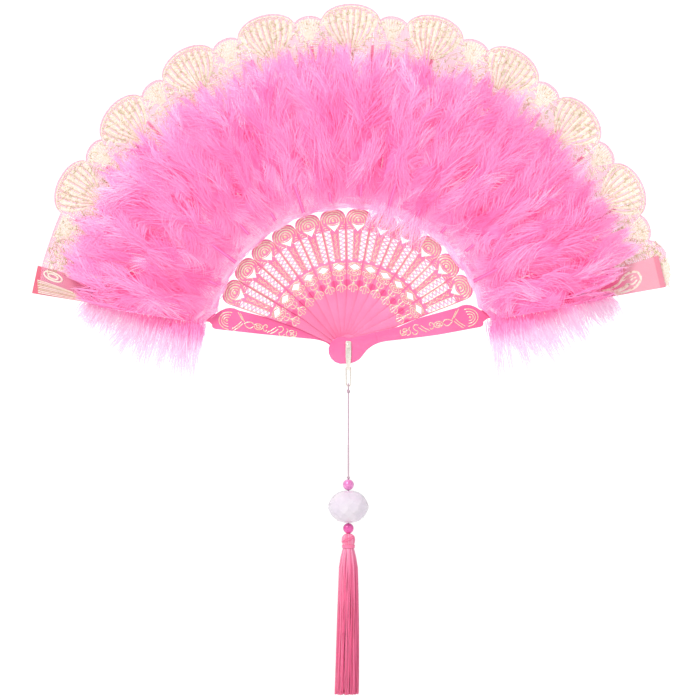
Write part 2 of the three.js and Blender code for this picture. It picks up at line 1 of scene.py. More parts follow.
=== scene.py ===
import math
import bpy
import numpy as np
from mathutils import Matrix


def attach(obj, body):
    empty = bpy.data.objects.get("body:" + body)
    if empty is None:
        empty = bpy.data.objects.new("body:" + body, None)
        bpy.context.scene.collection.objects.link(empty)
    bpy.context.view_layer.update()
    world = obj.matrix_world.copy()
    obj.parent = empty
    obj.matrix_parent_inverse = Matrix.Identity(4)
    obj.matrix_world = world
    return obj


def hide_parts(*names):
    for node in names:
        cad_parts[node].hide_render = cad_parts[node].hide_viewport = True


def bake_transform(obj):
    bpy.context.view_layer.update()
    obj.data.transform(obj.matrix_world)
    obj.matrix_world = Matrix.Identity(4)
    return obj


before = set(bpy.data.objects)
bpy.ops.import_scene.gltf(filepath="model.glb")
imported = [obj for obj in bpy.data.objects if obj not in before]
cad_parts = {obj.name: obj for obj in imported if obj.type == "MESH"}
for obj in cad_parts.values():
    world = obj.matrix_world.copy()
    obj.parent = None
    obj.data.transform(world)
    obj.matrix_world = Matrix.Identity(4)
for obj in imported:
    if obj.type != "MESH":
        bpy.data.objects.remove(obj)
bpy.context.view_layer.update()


# Studio: a pale matt floor well below the hanging tassel, even white light from all round and a
# soft sun from the upper left. The camera looks straight at the fan's face through a long lens,
# and its frame is 476 mm wide at the fan.
def hue(red, green, blue):
    channels = [c / 255 for c in (red, green, blue)]
    return tuple(c / 12.92 if c < 0.04 else ((c + 0.055) / 1.055) ** 2.4 for c in channels) + (1.0,)


def start_finish(name, colour, **sockets):
    finish = bpy.data.materials.new(name)
    finish.use_nodes = True
    shader = finish.node_tree.nodes["Principled BSDF"]
    shader.inputs["Base Color"].default_value = hue(*colour)
    finish.diffuse_color = hue(*colour)
    for socket, value in sockets.items():
        shader.inputs[socket.replace("_", " ")].default_value = value
    return finish, shader


def node(owner, kind, inputs=(), **settings):
    made = owner.node_tree.nodes.new("ShaderNode" + kind)
    for key, value in settings.items():
        setattr(made, key, value)
    for key, value in dict(inputs).items():
        if isinstance(value, bpy.types.NodeSocket):
            owner.node_tree.links.new(value, made.inputs[key])
        else:
            made.inputs[key].default_value = value
    return made


def feed(shader, socket, source):
    shader.id_data.links.new(source, shader.inputs[socket])


def ramp(owner, source, *stops):
    made = node(owner, "ValToRGB", {"Fac": source})
    elements = made.color_ramp.elements
    while len(elements) < len(stops):
        elements.new(0.5)
    for element, (position, colour) in zip(elements, stops):
        element.position = position
        element.color = hue(*colour)
    return made.outputs["Color"]


def noise(owner, source, scale, **sockets):
    return node(owner, "TexNoise", {"Vector": source, "Scale": scale, **sockets}).outputs["Fac"]


def maths(owner, operation, *values):
    return node(owner, "Math", dict(enumerate(values)), operation=operation).outputs[0]


def remapped(owner, value, **limits):
    inputs = {socket.replace("_", " "): limit for socket, limit in limits.items()}
    return node(owner, "MapRange", {"Value": value, **inputs}).outputs["Result"]


def blended(owner, share, first, second):
    return node(owner, "Mix", {"Factor": share, 6: first, 7: second}, data_type="RGBA").outputs[2]


def raise_grain(finish, shader, height, strength, distance):
    bump = node(finish, "Bump", {"Height": height, "Strength": strength, "Distance": distance})
    feed(shader, "Normal", bump.outputs["Normal"])


def mottled(name, colour, scale, stops, grain=(), wear=None, bump=None, **sockets):
    """A finish whose colour runs over the stops with fine noise, which can also dull and raise it"""
    finish, shader = start_finish(name, colour, **sockets)
    speckle = noise(finish, node(finish, "TexCoord").outputs["Object"], scale, **dict(grain))
    feed(shader, "Base Color", ramp(finish, speckle, *stops))
    if wear:
        feed(shader, "Roughness", remapped(finish, speckle, To_Min=wear[0], To_Max=wear[1]))
    if bump:
        raise_grain(finish, shader, speckle, *bump)
    return finish


bpy.context.scene.view_settings.view_transform = "Standard"
studio_air = bpy.data.worlds.new("studio_air")
studio_air.use_nodes = True
studio_air.node_tree.nodes.clear()
air_height = node(studio_air, "SeparateXYZ", {0: node(studio_air, "TexCoord").outputs["Generated"]})
air_stops = (0.0, (187.516, 187.516, 189.186)), (0.55, (255, 255, 255))
air_shade = ramp(studio_air, air_height.outputs["Z"], *air_stops)
air_light = node(studio_air, "Background", {"Color": air_shade, "Strength": 0.86}).outputs[0]
air_seen = node(studio_air, "Background", {"Color": (1, 1, 1, 1), "Strength": 1.2}).outputs[0]
camera_ray = node(studio_air, "LightPath").outputs["Is Camera Ray"]
air_mix = node(studio_air, "MixShader", {0: camera_ray, 1: air_light, 2: air_seen})
node(studio_air, "OutputWorld", {"Surface": air_mix.outputs[0]})
bpy.context.scene.world = studio_air

bpy.ops.object.select_all(action="DESELECT")
floor_size, floor_height = 30, -0.44
bpy.ops.mesh.primitive_plane_add(size=floor_size, location=(0, 0, floor_height))
studio_floor = bpy.context.object
studio_floor.name = "studio_floor"
bpy.ops.object.transform_apply(location=True, rotation=True, scale=True)
floor_stops = (0.3, (249, 249, 249)), (0.7, (252, 252, 252))
floor_paint = mottled("floor_paint", (250, 250, 250), 3.0, floor_stops, Roughness=0.9)
studio_floor.data.materials.append(floor_paint)

bpy.ops.object.light_add(type="SUN", rotation=(math.radians(48), 0, math.radians(-32)))
soft_sun = bpy.context.object
soft_sun.name = "soft_sun"
soft_sun.data.energy = 1.45
soft_sun.data.angle = math.radians(18)
soft_sun.data.color = (1.0, 0.985, 0.965)

camera_distance, frame_width, sensor_width = 2.6, 0.476, 36
camera_place = (0.0011, -camera_distance, -0.0031)
bpy.ops.object.camera_add(location=camera_place, rotation=(math.radians(90), 0, 0))
fan_camera = bpy.context.object
fan_camera.name = "fan_camera"
fan_camera.data.sensor_width = sensor_width
fan_camera.data.lens = sensor_width * camera_distance / frame_width
bpy.context.scene.camera = fan_camera


# Thread: silk cord of three plies laid up in a twist, one millimetre thick. It hangs straight from
# the knot under its own loop, through the beads and the tassel's head, and ends inside the skirt.
def new_piece(name, points, faces, *finishes):
    mesh = bpy.data.meshes.new(name)
    in_metres = (np.asarray(points, float) / 1000).tolist()
    mesh.from_pydata(in_metres, [], [list(map(int, face)) for face in faces])
    for finish in finishes:
        mesh.materials.append(finish)
    mesh.shade_smooth()
    piece = bpy.data.objects.new(name, mesh)
    bpy.context.collection.objects.link(piece)
    return piece


def declared(piece, cad_node, body):
    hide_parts(cad_node)
    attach(piece, body)
    return piece


def unit(vectors, least=0.0):
    return vectors / (np.linalg.norm(vectors, axis=-1, keepdims=True) + least)


def headings(path, closed=False):
    return unit(np.roll(path, -1, 0) - np.roll(path, 1, 0) if closed else np.gradient(path, axis=0))


def full_turn(count):
    return np.linspace(0, 2 * np.pi, count, endpoint=False)


def circled(radii, angles, heights):
    """Points at radii, angles and heights round the thread"""
    return np.stack(np.broadcast_arrays(radii * np.cos(angles), radii * np.sin(angles), heights), axis=-1)


def tube_rings(path, across, beside, radius, sides):
    turn = full_turn(sides)[:, None]
    ring = np.cos(turn) * across[..., None, :] + np.sin(turn) * beside[..., None, :]
    return path[..., None, :] + radius * ring


def quads(*shape, around=False, closed=False, turned=False):
    """Faces over a grid of points, which can run round into itself across and along"""
    index = np.arange(math.prod(shape)).reshape(shape)
    if around:
        index = np.concatenate([index, index[..., :1]], axis=-1)
    if closed:
        index = np.concatenate([index, index[..., :1, :]], axis=-2)
    corners = [index[..., :-1, :-1], index[..., :-1, 1:], index[..., 1:, 1:], index[..., 1:, :-1]]
    faces = np.stack(corners, axis=-1).reshape(-1, 4)
    return (faces[:, [0, 3, 2, 1]] if turned else faces).tolist()


def laid_up(path, radius, plies, pitch, sides=12, closed=False):
    """A cord of plies in a twist along a path. Without plies it is a plain round wire"""
    path = np.asarray(path, float)
    along = headings(path, closed)
    across = np.zeros_like(path)
    start = np.cross(along[0], (0.31, 0.87, 0.22))
    for i, direction in enumerate(along):
        start = start - direction * start.dot(direction)
        start /= np.linalg.norm(start)
        across[i] = start
    steps = np.linalg.norm(np.diff(path, axis=0), axis=1)
    travelled = np.concatenate([[0], np.cumsum(steps)])
    lay = 2 * np.pi * travelled[:, None] / pitch
    lobes = 0.8 + 0.2 * np.abs(np.cos(plies * (full_turn(sides) - lay) / 2)) ** 0.7
    points = tube_rings(path, across, np.cross(along, across), radius * lobes[..., None], sides)
    faces = quads(len(path), sides, around=True, closed=closed)
    points = points.reshape(-1, 3)
    if not closed:
        first, last, end = len(points), len(points) + 1, len(points) - sides
        points = np.vstack([points, path[0], path[-1]])
        faces += [(first, (j + 1) % sides, j) for j in range(sides)]
        faces += [(last, end + j, end + (j + 1) % sides) for j in range(sides)]
    return points, faces


def joined(*meshes):
    points, faces, start = [], [], 0
    for some_points, some_faces in meshes:
        points.append(np.asarray(some_points, float).reshape(-1, 3))
        faces += [[start + corner for corner in face] for face in some_faces]
        start += len(points[-1])
    return np.vstack(points), faces


thread_top = -32.807
thread_end = -182.0
thread_radius, ply_pitch = 0.5, 2.6
silk = mottled(
    "twisted_silk", (200, 168, 184), 2600.0, [(0.3, (176, 142, 159)), (0.7, (220, 188, 204))],
    {"Detail": 3.0}, bump=(0.4, 0.0001), Roughness=0.55, Sheen_Weight=0.5, Sheen_Roughness=0.4,
)
fine_route = [(0, 0, z) for z in np.linspace(thread_top, thread_end, 360)]
hanging_thread = new_piece("hanging_thread", *laid_up(fine_route, thread_radius, 3, ply_pitch), silk)
declared(hanging_thread, "thread", "pendant")


# Loop and knots of the same thread. The loop goes through the metal link, a pulled-tight overhand
# knot closes it, and a second small knot above the first bead stops the beads from riding up.
def tied_knot(name, top, height, radius, strand, run_in=0.0):
    t = full_turn(72)
    reach = (radius - strand) / 3
    route = np.stack([
        reach * (np.sin(t) + 2 * np.sin(2 * t)),
        reach * (np.cos(t) - 2 * np.cos(2 * t)),
        top - height / 2 - (height / 2 - strand) * np.sin(3 * t),
    ], axis=1)
    turns = [laid_up(route, strand, 3, 2.2, sides=9, closed=True)]
    if run_in:
        stem = [(0, 0, z) for z in np.linspace(top + run_in, top - height - run_in, 12)]
        turns.append(laid_up(stem, 0.49, 3, ply_pitch))
    return new_piece(name, *joined(*turns), silk)


loop_middle = -27.6
loop_radius = 1.507
loop_pitch = 2 * math.pi * loop_radius / 4
loop_route = [
    (0, loop_radius * math.cos(a), loop_middle + loop_radius * math.sin(a)) for a in full_turn(40)
]
eye_loop = new_piece("eye_loop", *laid_up(loop_route, thread_radius, 3, loop_pitch, closed=True), silk)
under_knot = tied_knot("under_knot", -29.907, 2.6, 1.2, 0.46, run_in=0.6)
stop_knot = tied_knot("stop_knot", -89.107, 1.6, 1.15, 0.42)
declared(eye_loop, "thread_loop", "pendant")
declared(under_knot, "loop_knot", "pendant")
declared(stop_knot, "bead_knot", "pendant")


# Pearl beads, one above the crystal and one below it: moulded plastic balls with a bore for the
# thread, dipped in pearl lacquer of mottled tone, orchid on the upper bead and rose on the lower.
def bevel_edges(piece, width, segments, least_angle):
    bevel = piece.modifiers.new("rounded_edge", "BEVEL")
    bevel.width = width
    bevel.segments = segments
    bevel.limit_method = "ANGLE"
    bevel.angle_limit = math.radians(least_angle)
    bpy.ops.object.modifier_apply(modifier=bevel.name)


def drilled_bead(name, middle, radius, cad_node, lacquer):
    bpy.ops.object.select_all(action="DESELECT")
    bpy.ops.mesh.primitive_uv_sphere_add(segments=40, ring_count=32, radius=radius, location=(0, 0, middle))
    bead = bpy.context.object
    bead.name = name
    bpy.ops.object.transform_apply(location=True, rotation=True, scale=True)
    bpy.ops.object.mode_set(mode="EDIT")
    bpy.ops.mesh.select_mode(type="VERT")
    bpy.ops.mesh.select_all(action="DESELECT")
    bpy.ops.object.mode_set(mode="OBJECT")
    for vertex in bead.data.vertices:
        vertex.select = abs(vertex.co.z - middle) > radius * 0.985
    bpy.ops.object.mode_set(mode="EDIT")
    bpy.ops.mesh.delete(type="VERT")
    bpy.ops.mesh.select_all(action="DESELECT")
    bpy.ops.mesh.select_non_manifold()
    bpy.ops.mesh.bridge_edge_loops()
    bpy.ops.mesh.select_all(action="SELECT")
    bpy.ops.mesh.normals_make_consistent(inside=False)
    bpy.ops.object.mode_set(mode="OBJECT")
    bevel_edges(bead, 0.00018, 3, 50)
    bpy.ops.object.shade_smooth_by_angle(angle=math.radians(45))
    bead.data.materials.append(lacquer)
    return declared(bead, cad_node, "pendant")


def pearl_lacquer(name, shadow, middle, light):
    return mottled(
        name, middle, 420.0, [(0.3, shadow), (0.55, middle), (0.75, light)],
        {"Detail": 4.0, "Distortion": 1.5},
        Roughness=0.3, Coat_Weight=0.7, Coat_Roughness=0.12, Metallic=0.15,
    )


orchid_lacquer = pearl_lacquer("orchid_lacquer", (224, 118, 188), (242, 146, 212), (252, 178, 228))
rose_lacquer = pearl_lacquer("rose_lacquer", (214, 66, 150), (240, 92, 176), (250, 128, 198))
upper_pearl = drilled_bead("upper_pearl", -0.094757, 0.00375, "bead_upper", orchid_lacquer)
lower_pearl = drilled_bead("lower_pearl", -0.124374, 0.0036, "bead_lower", rose_lacquer)


# Crystal: a large faceted bead of milky pressed acrylic with a faint lilac cast, cut in rows of
# flat facets round a girdle. The thread runs down its bore.
crystal_middle, crystal_sides, bore_radius = -109.649, 12, 0.9
upper_rows = [(3.5, 10.8, 0), (7.4, 9.6, 0.5), (10.5, 7.1, 0), (12.8, 4.1, 0.5), (13.75, 1.1, 0)]
lower_rows = [(radius, -height, turn) for radius, height, turn in reversed(upper_rows)]
row_radii, row_heights, row_turns = np.array(upper_rows + lower_rows).T[..., None]
row_angles = 2 * np.pi * (np.arange(crystal_sides) + row_turns) / crystal_sides
crystal_points = circled(row_radii, row_angles, crystal_middle + row_heights)
bore_points = circled(bore_radius, full_turn(crystal_sides), crystal_middle + row_heights[[0, -1]])
crystal_faces = []
for row, (upper_turn, lower_turn) in enumerate(zip(row_turns[:, 0], row_turns[1:, 0])):
    for side in range(crystal_sides):
        a = row * crystal_sides + side
        b = row * crystal_sides + (side + 1) % crystal_sides
        c, d = a + crystal_sides, b + crystal_sides
        if upper_turn == lower_turn:
            crystal_faces.append((a, c, d, b))
        elif upper_turn > lower_turn:
            crystal_faces += [(a, d, b), (a, c, d)]
        else:
            crystal_faces += [(a, c, b), (b, c, d)]
bore_start = crystal_points.size // 3
last_row = bore_start - crystal_sides
for side in range(crystal_sides):
    following = (side + 1) % crystal_sides
    top_a, top_b = bore_start + side, bore_start + following
    low_a, low_b = top_a + crystal_sides, top_b + crystal_sides
    crystal_faces.append((side, following, top_b, top_a))
    crystal_faces.append((top_a, top_b, low_b, low_a))
    crystal_faces.append((last_row + side, low_a, low_b, last_row + following))
milky_acrylic = mottled(
    "milky_acrylic", (244, 234, 250), 90.0, [(0.35, (240, 230, 244)), (0.65, (250, 242, 250))],
    Roughness=0.08, IOR=1.49, Transmission_Weight=0.22,
)
crystal_points = np.vstack([crystal_points.reshape(-1, 3), bore_points.reshape(-1, 3)])
crystal = new_piece("crystal", crystal_points, crystal_faces, milky_acrylic)
crystal.data.shade_flat()
declared(crystal, "crystal_bead", "pendant")


# Tassel: a hank of rose rayon strands folded over a core and bound. The head is the fold, wrapped
# in slanting turns, the band is five turns of the same rayon, and the skirt hangs loose.
def bundle(lines, radius, sides=4):
    """Strands along rows of points"""
    lines = np.asarray(lines, float)
    along = unit(np.gradient(lines, axis=1))
    across = unit(np.cross(along, np.array([0.21, 0.93, 0.3])))
    radius = np.broadcast_to(radius, lines.shape[:2])[..., None, None]
    points = tube_rings(lines, across, np.cross(along, across), radius, sides)
    return points.reshape(-1, 3), quads(*lines.shape[:2], sides, around=True)


def set_tone(piece, values):
    tone = piece.data.attributes.new("tone", "FLOAT", "POINT")
    tone.data.foreach_set("value", np.asarray(values, np.float32))


tassel_random = np.random.default_rng(11)
rayon, rayon_shader = start_finish(
    "rose_rayon", (240, 95, 145), Roughness=0.38, Sheen_Weight=0.35, Sheen_Roughness=0.35,
)
rayon_stops = (0.0, (206, 50, 104)), (0.35, (236, 84, 136)), (0.7, (250, 122, 166)), (1.0, (255, 172, 204))
rayon_tone = node(rayon, "Attribute", attribute_name="tone").outputs["Fac"]
feed(rayon_shader, "Base Color", ramp(rayon, rayon_tone, *rayon_stops))
rayon_place = node(rayon, "TexCoord").outputs["Object"]
rayon_stretch = node(rayon, "Mapping", {"Vector": rayon_place, "Scale": (1.0, 1.0, 0.04)})
raise_grain(rayon, rayon_shader, noise(rayon, rayon_stretch.outputs[0], 3800.0), 0.35, 0.0001)

head_profile = [
    (-127.95, 1.0), (-128.3, 2.2), (-129.2, 3.5), (-130.6, 4.35), (-132.4, 4.6), (-134.2, 4.3),
    (-135.3, 3.85), (-137.9, 3.75), (-138.1, 3.3),
]
head_heights, head_radii = np.array(head_profile).T
head_count, head_points, core_sides, core_share = 44, 16, 24, 0.86
strand_radius, wrap_radius, wrap_middle, wrap_tilt = 0.34, 0.32, -131.6, 2.6


def head_radius(heights):
    return np.interp(-heights, -head_heights, head_radii)


strand_heights = np.linspace(head_heights[0], head_heights[-1], head_points)
strand_radii = head_radius(strand_heights) - 0.3
head_lines = [circled(strand_radii, angle, strand_heights) for angle in full_turn(head_count)]
head_strands = bundle(head_lines, strand_radius)
wrap_meshes = []
for wrap_lean in (0.42, -0.42, 0.36):
    wrap_turn = full_turn(60)
    wrap_height = wrap_middle + wrap_tilt * wrap_lean * np.sin(wrap_turn + 3 * wrap_lean) * 2
    wrap_route = circled(head_radius(wrap_height) - 0.05, wrap_turn, wrap_height)
    wrap_meshes.append(laid_up(wrap_route, wrap_radius, 2, 1.4, sides=8, closed=True))
core_points = circled(head_radii[:, None] * core_share, full_turn(core_sides), head_heights[:, None])
core_faces = quads(len(head_heights), core_sides, around=True, turned=True)
core_end = core_points.size // 3
core_faces += [range(core_sides), range(core_end - 1, core_end - core_sides - 1, -1)]
head_meshes = joined((core_points, core_faces), head_strands, *wrap_meshes)
bound_head = new_piece("bound_head", *head_meshes, rayon)
head_tone = np.full(len(bound_head.data.vertices), 0.6)
head_tone[:core_end] = 0.2
strand_tone = np.repeat(tassel_random.uniform(0.7, 1.0, head_count), head_points * 4)
head_tone[core_end:core_end + len(strand_tone)] = strand_tone
set_tone(bound_head, head_tone)

band_turns, band_radius, band_top, band_foot = 5, 4.1, -135.75, -137.45
band_turn = np.linspace(0, 2 * np.pi * band_turns, 40 * band_turns)
band_route = circled(band_radius, band_turn, np.linspace(band_top, band_foot, len(band_turn)))
neck_band = new_piece("neck_band", *laid_up(band_route, 0.38, 2, 1.6, sides=8), rayon)
set_tone(neck_band, np.full(len(neck_band.data.vertices), 0.72))

skirt_count, skirt_locks, skirt_top, skirt_hem = 640, 26, -137.0, -237.2
skirt_share = np.sqrt(tassel_random.uniform(0.0, 1.0, skirt_count))
skirt_angle = tassel_random.uniform(0, 2 * np.pi, skirt_count)
skirt_end = skirt_hem + tassel_random.exponential(0.9, skirt_count).clip(0, 5)
down = np.linspace(0, 1, 15)
drop = skirt_top + (skirt_end[:, None] - skirt_top) * down
flare = 3.3 + 2.3 * np.clip(down / 0.12, 0, 1) ** 0.8 + 2.6 * np.clip((down - 0.05) / 0.95, 0, 1) ** 0.6
lock = np.round(skirt_angle / (2 * np.pi) * skirt_locks)
lock_angle = lock / skirt_locks * 2 * np.pi
gather = 0.45 * down
wander = 0.05 * np.sin(3 * np.pi * down + tassel_random.uniform(0, 6, (skirt_count, 1)))
around = skirt_angle[:, None] * (1 - gather) + lock_angle[:, None] * gather + wander
reach = skirt_share[:, None] * flare
lean = -1.2 * down ** 2
skirt_lines = np.stack([reach * np.cos(around) + lean, reach * np.sin(around), drop], axis=2)
loose_skirt = new_piece("loose_skirt", *bundle(skirt_lines, strand_radius * (1 - 0.35 * down ** 4)), rayon)
lock_tone = tassel_random.uniform(-0.12, 0.12, skirt_locks + 1)[lock.astype(int)]
strand_tone = 0.54 + lock_tone + tassel_random.normal(0, 0.06, skirt_count)
# The strands are painted lighter towards the top of the skirt: a painted highlight just below the band.
set_tone(loose_skirt, np.repeat((strand_tone[:, None] + 0.4 * (1 - down) ** 5).ravel(), 4))
declared(bound_head, "tassel_head", "pendant")
declared(neck_band, "tassel_band", "pendant")
declared(loose_skirt, "tassel_skirt", "pendant")


# Rivet, washer and bail: bright white metal. The rivet is a pin with two domed heads through all
# the sticks, and the bail is a stamped strap on it, bent round the heads, with a bar across below.
def choose(piece):
    bpy.ops.object.select_all(action="DESELECT")
    piece.select_set(True)
    bpy.context.view_layer.objects.active = piece


def place_upright(piece, angle, depth):
    turn = math.radians(90 - angle)
    for vertex in piece.data.vertices:
        x, y, z = vertex.co
        upright_x = x * math.cos(turn) - z * math.sin(turn)
        upright_z = x * math.sin(turn) + z * math.cos(turn)
        vertex.co = (upright_x, y - depth, upright_z)


def own_shape(cad_node, name, finish, edge, segments, turned_back=None):
    """The CAD solid with its edges rounded, first turned upright where it is a stick or guard"""
    piece = bpy.data.objects.new(name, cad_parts[cad_node].data.copy())
    bpy.context.collection.objects.link(piece)
    choose(piece)
    bpy.ops.mesh.customdata_custom_splitnormals_clear()
    if turned_back:
        place_upright(piece, *turned_back)
    bpy.ops.object.mode_set(mode="EDIT")
    bpy.ops.mesh.select_all(action="SELECT")
    bpy.ops.mesh.remove_doubles(threshold=0.000002)
    bpy.ops.mesh.dissolve_limited(angle_limit=math.radians(1))
    bpy.ops.object.mode_set(mode="OBJECT")
    bevel_edges(piece, edge, segments, 38)
    bpy.ops.object.shade_smooth_by_angle(angle=math.radians(40))
    piece.data.materials.clear()
    piece.data.materials.append(finish)
    return piece


bright_metal = mottled(
    "bright_metal", (250, 243, 232), 900.0, [(0.3, (236, 224, 206)), (0.6, (255, 251, 243))],
    {"Detail": 5.0, "Roughness": 0.7}, wear=(0.2, 0.42), bump=(0.12, 0.0001), Metallic=0.7, Roughness=0.3,
)
rivet_pin = own_shape("rivet", "rivet_pin", bright_metal, 0.00025, 3)
back_washer = own_shape("rivet_washer", "back_washer", bright_metal, 0.00012, 2)
strap_bail = own_shape("bail", "strap_bail", bright_metal, 0.00018, 3)
declared(rivet_pin, "rivet", "rear_guard")
declared(back_washer, "rivet_washer", "rear_guard")
declared(strap_bail, "bail", "bail")


# Link: one turn of round bright wire, bent to a long oval round the bail's bar and butted shut.
# The thread's loop hangs in its lower end.
link_wire, link_bend = 0.5, 1.5
link_upper, link_lower = -16.0, -26.1
half_turn = np.linspace(0, np.pi, 14)
link_route = [(link_bend * math.cos(a), 0, link_upper + link_bend * math.sin(a)) for a in half_turn]
link_route += [(-link_bend, 0, z) for z in np.linspace(link_upper, link_lower, 8)[1:-1]]
link_route += [(-link_bend * math.cos(a), 0, link_lower - link_bend * math.sin(a)) for a in half_turn]
link_route += [(link_bend, 0, z) for z in np.linspace(link_lower, link_upper, 8)[1:-1]]
link_mesh = laid_up(link_route, link_wire, 0, 1000.0, sides=14, closed=True)
declared(new_piece("wire_link", *link_mesh, bright_metal), "pendant_link", "link")


# Sticks: twelve injection-moulded pink plastic sticks, each pierced with a diamond, two long slots
# crossed by zigzag bars and a crescent. Raised lines on the front are hot-stamped with pale gold.
def smooth_line(points, closed=False, fine=4):
    """More points on a soft curve through the given ones"""
    points = np.asarray(points, float)
    if closed:
        padded = np.vstack([points[-1:], points, points[:2]])
    elif len(points) < 3:
        return points
    else:
        padded = np.vstack([2 * points[0] - points[1], points, 2 * points[-1] - points[-2]])
    spans = []
    for a, b, c, d in zip(padded, padded[1:], padded[2:], padded[3:]):
        for t in np.arange(fine) / fine:
            square, cube = (2 * a - 5 * b + 4 * c - d) * t ** 2, (3 * b - a - 3 * c + d) * t ** 3
            spans.append(0.5 * (2 * b + (c - a) * t + square + cube))
    if not closed:
        spans.append(points[-1])
    return np.array(spans)


def moulded_line(points, width, face, rise, sunk=0.1, closed=False, smooth=True):
    """A raised line on a face, rounded in section, with its ends drawn in where it is smooth"""
    path = smooth_line(points, closed) if smooth else np.asarray(points, float)
    along = headings(path, closed)
    across = np.stack([along[:, 1], -along[:, 0]], axis=1)
    left_half = [(-0.5, -sunk), (-0.46, 0.6 * rise), (-0.22, rise)]
    section = left_half + [(-side, height) for side, height in reversed(left_half)]
    widths = np.full(len(path), width)
    if smooth and not closed:
        widths[[0, -1]] *= 0.45
    points = []
    for side, height in section:
        place = path + across * (side * widths)[:, None]
        points.append(np.stack([place[:, 0], np.full(len(path), face - height), place[:, 1]], axis=1))
    corners, end = len(section), len(section) * len(path)
    faces = quads(len(path), corners, around=True, closed=closed)
    if not closed:
        faces += [range(corners - 1, -1, -1), range(end - corners, end)]
    return np.stack(points, axis=1).reshape(-1, 3), faces


def moulded_lines(strokes, face, rise, side=1):
    """One mesh of raised lines from rows of width, whether it is closed, and points"""
    lines = []
    for width, closed, points in strokes:
        lines.append(moulded_line([(side * x, z) for x, z in points], width, face, rise, closed=closed))
    return joined(*lines)


def arch(middle, across, up, start, end, steps=12):
    angles = np.radians(np.linspace(start, end, steps))
    return [(middle[0] + across * math.cos(a), middle[1] + up * math.sin(a)) for a in angles]


def leaned(points, angle, depth=0.0):
    """Turns upright points to the angle of a stick"""
    turn = math.radians(90 - angle)
    points = np.asarray(points, float)
    x = points[..., 0] * math.cos(turn) + points[..., 2] * math.sin(turn)
    z = points[..., 2] * math.cos(turn) - points[..., 0] * math.sin(turn)
    return np.stack([x, points[..., 1] + depth, z], axis=-1)


def map_points(piece, name, places):
    layer = piece.data.uv_layers.new(name=name)
    corners = np.empty(len(piece.data.loops), int)
    piece.data.loops.foreach_get("vertex_index", corners)
    layer.data.foreach_set("uv", places[corners].ravel())


def upright_blank(cad_node, plastic, edge, segments, angle, depth):
    blank = own_shape(cad_node, "blank", plastic, edge, segments, turned_back=(angle, depth / 1000))
    points = np.array([vertex.co for vertex in blank.data.vertices]) * 1000
    faces = [tuple(polygon.vertices) for polygon in blank.data.polygons]
    bpy.data.objects.remove(blank)
    return points, faces


def dressed_blade(name, angle, depth, map_name, parts, *finishes):
    """A stick or guard of upright parts, each with the number of its finish, leaned into its place"""
    points, faces = joined(*[mesh for mesh, _ in parts])
    blade = new_piece(name, leaned(points, angle, depth), faces, *finishes)
    finish_numbers = [number for (_, part_faces), number in parts for _ in part_faces]
    blade.data.polygons.foreach_set("material_index", finish_numbers)
    map_points(blade, map_name, points[:, [0, 2]])
    choose(blade)
    bpy.ops.object.shade_smooth_by_angle(angle=math.radians(40))
    return blade


stick_step, first_stick_angle = 11.64, 155.2
layer_step, first_stick_depth = 1.2, 6.6
stick_thickness = 0.9
stick_face = -stick_thickness / 2
border_slope = math.tan(math.radians(stick_step / 2))


def stick_angle(index):
    return first_stick_angle - stick_step * index


def stick_depth(index):
    return first_stick_depth - layer_step * index


disc_side, disc_height, disc_radius = 4.3, 42.5, 2.1
stick_plastic, stick_shader = start_finish(
    "stick_plastic", (255, 133, 180), Roughness=0.33, Coat_Weight=0.35, Coat_Roughness=0.15,
    Subsurface_Weight=0.12, Subsurface_Scale=0.002,
)
stick_map = node(stick_plastic, "UVMap", uv_map="stick_map")
stick_axes = node(stick_plastic, "SeparateXYZ", {0: stick_map.outputs["UV"]})
stick_side = maths(stick_plastic, "ABSOLUTE", stick_axes.outputs["X"])
disc_place = node(stick_plastic, "CombineXYZ", {
    "X": maths(stick_plastic, "SUBTRACT", stick_side, disc_side),
    "Y": maths(stick_plastic, "SUBTRACT", stick_axes.outputs["Y"], disc_height),
})
disc_reach = node(stick_plastic, "VectorMath", {0: disc_place.outputs[0]}, operation="LENGTH")
stick_disc = remapped(
    stick_plastic, disc_reach.outputs["Value"],
    From_Min=disc_radius, From_Max=disc_radius + 0.4, To_Min=1.0, To_Max=0.0,
)
stick_place = node(stick_plastic, "TexCoord").outputs["Object"]
stick_cloud = noise(stick_plastic, stick_place, 38.0, Detail=3.0)
stick_pinks = ramp(stick_plastic, stick_cloud, (0.3, (250, 122, 172)), (0.7, (255, 144, 190)))
feed(stick_shader, "Base Color", blended(stick_plastic, stick_disc, stick_pinks, hue(243, 92, 152)))
stick_grain = noise(stick_plastic, stick_place, 700.0)
stick_height = maths(stick_plastic, "MULTIPLY_ADD", stick_disc, 0.6, stick_grain)
raise_grain(stick_plastic, stick_shader, stick_height, 0.3, 0.0002)
gold_foil = mottled(
    "gold_foil", (255, 226, 178), 650.0,
    [(0.3, (236, 190, 158)), (0.48, (253, 226, 196)), (0.7, (255, 243, 224))],
    {"Detail": 4.0}, wear=(0.2, 0.5), Metallic=0.75, Roughness=0.32,
)
pale_plastic = mottled(
    "pale_plastic", (252, 206, 226), 300.0, [(0.35, (246, 180, 214)), (0.65, (253, 210, 233))],
    Roughness=0.35, Coat_Weight=0.3,
)

